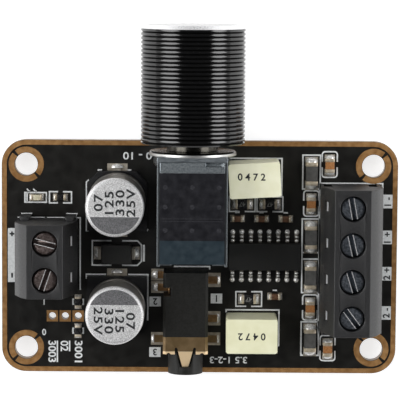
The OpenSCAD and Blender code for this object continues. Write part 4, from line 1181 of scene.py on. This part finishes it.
STRIP_WIDTH = 1.15
STRIP_EDGE = 1.4
STRIP_ENDS = (2.05, 1.03)
SIGN = 0.66
SIGN_STROKE = 0.22
SIGN_PLACES = (0.8, 0.95)
strip_x = board_high.x - STRIP_EDGE
strip = (power_low.y + STRIP_ENDS[0], power_high.y - STRIP_ENDS[1])
patch((strip_x, (strip[0] + strip[1]) / 2), (STRIP_WIDTH, strip[1] - strip[0]))
plus, minus = strip[0] + SIGN_PLACES[0], strip[1] - SIGN_PLACES[1]
for spot in (plus, minus):
    stroke = [(strip_x, spot - SIGN / 2), (strip_x, spot + SIGN / 2)]
    ribbon(marks, stroke, SIGN_STROKE, False, *MARK_HEIGHTS)
for way in (-1, 1):
    arm = [(strip_x + way * SIGN_STROKE / 2, plus), (strip_x + way * SIGN / 2, plus)]
    ribbon(marks, arm, SIGN_STROKE, False, *MARK_HEIGHTS)

SOCKET_PATCH = (1.6, 1.38)
PATCH_OFF = 1.18
PATCH_PLACES = (4.21, 4.69, 11.83)
for x, y, text in (
        (jack_low.x - PATCH_OFF, PATCH_PLACES[0], "1"), (jack_high.x + PATCH_OFF, PATCH_PLACES[1], "2"),
        (jack_high.x + PATCH_OFF, PATCH_PLACES[2], "3")):
    patch((x, jack_low.y + y), SOCKET_PATCH)
    letters(marks, text, (x, jack_low.y + y), FIGURE, 0, *MARK_HEIGHTS)
piece("label_patches", patches, [ink])
piece("label_marks", marks, [dark_ink])

# %% [markdown]
# ## White figures
# Other labels are white ink straight on the mask: the knob's range, the socket's size and contacts,
# and a number at each option pad, two of them with a bar. The user reads them from the knob's side,
# so most stand upside down in this view.

# %% White lettering
RANGE_OFF = (3.3, 2.15)
RANGE_TALL = 1.05
RANGE_WIDEN = 1.2
SIZE_OFF = (3.1, 1.75)
SIZE_TALL = 0.95
SIZE_WIDEN = 1.15
OPTION_TALL = 1.1
OPTION_START = 3.5
OPTION_WORDS = (("3001", 3.05, -0.07), ("02", 1.5, 0.11), ("3003", 3.05, 0.02))
BAR_OFF_WORD = 0.72
LOGIC_TALL = 0.9
LOGIC_OFF = 1.15
LOGIC_PLACES = (-2.0, 2.3)
words = bmesh.new()
pot_high = corners("pot_switch_housing")[1]
range_spot = (pot_high.x + RANGE_OFF[0], board_low.y + RANGE_OFF[1])
letters(words, "0 - 10", range_spot, RANGE_TALL, widen=RANGE_WIDEN)
size_spot = ((film_2[0].x + film_2[1].x) / 2 + SIZE_OFF[0], board_high.y - SIZE_OFF[1])
letters(words, "3.5 1-2-3", size_spot, SIZE_TALL, widen=SIZE_WIDEN)
for number, (spot, (text, long, aside)) in enumerate(zip(option_spots, OPTION_WORDS)):
    middle = Vector((spot.x + aside, spot.y + OPTION_START + long / 2))
    letters(words, text, middle, OPTION_TALL, 90, long=long)
    if number:
        bar = middle.x - BAR_OFF_WORD
        ribbon(words, [(bar, middle.y - long / 2), (bar, middle.y + long / 2)], LINE)
for text, place in zip("10", LOGIC_PLACES):
    letters(words, text, (option_spots[2].x + LOGIC_OFF, option_spots[2].y + place), LOGIC_TALL)
piece("white_lettering", words, [ink])

# %% [markdown]
# ## Print on the cans
# The electrolytic cans carry a dark segment on the negative side and their value in black, rolled on
# before the can is drawn over the coil. The segment is a circle's arc closed by its chord, laid just
# proud of the can's end, inside its bright rounded rim.

# %% Can tops
SEGMENTS_AT = (1.25, 1.5)
RIM = 0.42
FILM = 0.012
CODE_LINES = ("07", "125", "330", "25V")
CODE_STEP = 1.46
CODE_TALL = 1.22
CODE_SHIFT = 0.7
CODE_APART = 1.16
CODE_WIDEN = 1.3
SEGMENT_STEPS = 32
# Ink rolled onto the blasted end lets its sparkle through.
can_ink = grained(
    "matte_can_ink", "#77777a", 0.6, 0.6, BRUSH, ("#4c4c4e", "#8a8a8c"), (0.5, 0.7), 0.004)
segments = bmesh.new()
codes = bmesh.new()
for number, side in ((1, 1), (2, -1)):
    low, high = corners(f"electrolytic_can_{number}")
    middle = (low + high) / 2
    radius = (high.x - low.x) / 2 - RIM
    half = math.degrees(math.acos(SEGMENTS_AT[number - 1] / radius))
    print_heights = (high.z - PRINT, high.z + FILM)
    edge = arc(middle, radius, side * 90 - half, side * 90 + half, SEGMENT_STEPS)
    slab(segments, edge, *print_heights)
    for i, text in enumerate(CODE_LINES):
        along = (len(CODE_LINES) - 1) / 2 - i
        spot = (middle.x + side * along * CODE_STEP, middle.y - side * CODE_SHIFT)
        letters(codes, text, spot, CODE_TALL, -90 * side, *print_heights, CODE_WIDEN, CODE_APART)
piece("can_segments", segments, [can_ink])

# %% [markdown]
# ## Codes on the small parts
# The film capacitors have a stamped black code, and the resistors a pale one fired into the glaze.
# They are thin figures just above the face that carries them, in the part's own direction.

# %% Codes on the film capacitors and resistors
FILM_TALL = 1.0
STAMP_OFF = (0.45, 0.5)
RESISTOR_TALL = 0.62
for number, turn in ((1, 180), (2, 0)):
    low, high = corners(f"film_capacitor_{number}")
    spot = (low + high) / 2
    if number == 1:
        spot += Vector((STAMP_OFF[0], -STAMP_OFF[1], 0))
    letters(codes, "0 4 7 2", spot, FILM_TALL, turn, high.z - PRINT, high.z + FILM)
piece("part_codes", codes, [dark_ink])
pale = bmesh.new()
for box in solids("large_resistors"):
    letters(pale, "47", middle_of(box), RESISTOR_TALL, 0, box[1].z - PRINT, box[1].z + FILM)
# A code fired into the glaze is a soft grey.
pale_ink = grained("pale_glaze_code", "#7d7d7b", 0.4, 0, GRAIN, ("#737371", "#888886"), (0.35, 0.5))
piece("resistor_codes", pale, [pale_ink])

# %% [markdown]
# ## Painted highlights on the screw slots
# The two edges of a slot catch the light, and a narrow strip of bright steel along each edge is a
# painted highlight. It rides on its own screw, so it turns with the slot.

# %% Painted highlights along the screw slots
SLOT_TURNS = {"power": (166, 71), "speaker": (100, 103, 107, 127)}
SLOT_WIDTH = 0.62
SLOT_REACH = 0.92
SLOT_HIGHLIGHT_WIDTH = 0.09
SLOT_HIGHLIGHT_PROUD = 0.006
# Bright steel in streaks is the painted highlight along each slot edge.
slot_highlight_steel = grained("slot_highlight_steel", "#d2d2cf", 0.45, 0.4, BRUSH, ("#8e8f90", "#f0f0ee"), (0.4, 0.55))
for block, turns in SLOT_TURNS.items():
    for number, degrees in enumerate(turns, 1):
        low, high = corners(f"{block}_screw_{number}")
        along = Vector((math.cos(math.radians(degrees)), math.sin(math.radians(degrees))))
        beside = Vector((-along.y, along.x)) * (SLOT_WIDTH + SLOT_HIGHLIGHT_WIDTH) / 2
        middle = middle_of((low, high)).xy
        reach = along * SLOT_REACH * math.sqrt(((high.x - low.x) / 2) ** 2 - beside.length_squared)
        bm = bmesh.new()
        for edge in (middle + beside, middle - beside):
            ribbon(bm, [edge - reach, edge + reach], SLOT_HIGHLIGHT_WIDTH, False, high.z - PRINT, high.z + SLOT_HIGHLIGHT_PROUD)
        screw_body = f"turning_{block}_screw_{number}"
        piece(f"highlight_{block}_slot_{number}", bm, [slot_highlight_steel], screw_body)

# %% [markdown]
# ## Moulding marks
# Ejector pins push a warm moulding out of its mould and leave round marks. On the volume control they
# stand in rows along both sides and down the middle. Each is a thin disc that lies almost flush. Two
# fine lines mark the flash of resin where the mould halves of the two gangs met.

# %% Ejector marks on the volume control
EJECTOR = 0.32
EJECTOR_INSET = 0.75
EJECTOR_STEPS = 20
MARK_PROUD = 0.006
FLASH = 0.07
FLASH_OFF = 0.18
bm = bmesh.new()
EJECTOR_ROWS = {"pot_front_housing": (0.3, 0.72), "pot_rear_housing": (0.5,)}
for node, rows in EJECTOR_ROWS.items():
    low, high = corners(node)
    for share in rows:
        y = low.y + share * (high.y - low.y)
        for x in (low.x + EJECTOR_INSET, (low.x + high.x) / 2, high.x - EJECTOR_INSET):
            disc = arc((x, y), EJECTOR, 0, 360, EJECTOR_STEPS)[:-1]
            slab(bm, disc, high.z - PRINT, high.z + MARK_PROUD)
low, high = corners("pot_rear_housing")
for y in (low.y - FLASH_OFF, low.y + FLASH_OFF):
    path = [(low.x + FLASH_OFF, y), (high.x - FLASH_OFF, y)]
    ribbon(bm, path, FLASH, False, high.z - PRINT, high.z + MARK_PROUD)
piece("moulding_marks", bm, [mark_resin])
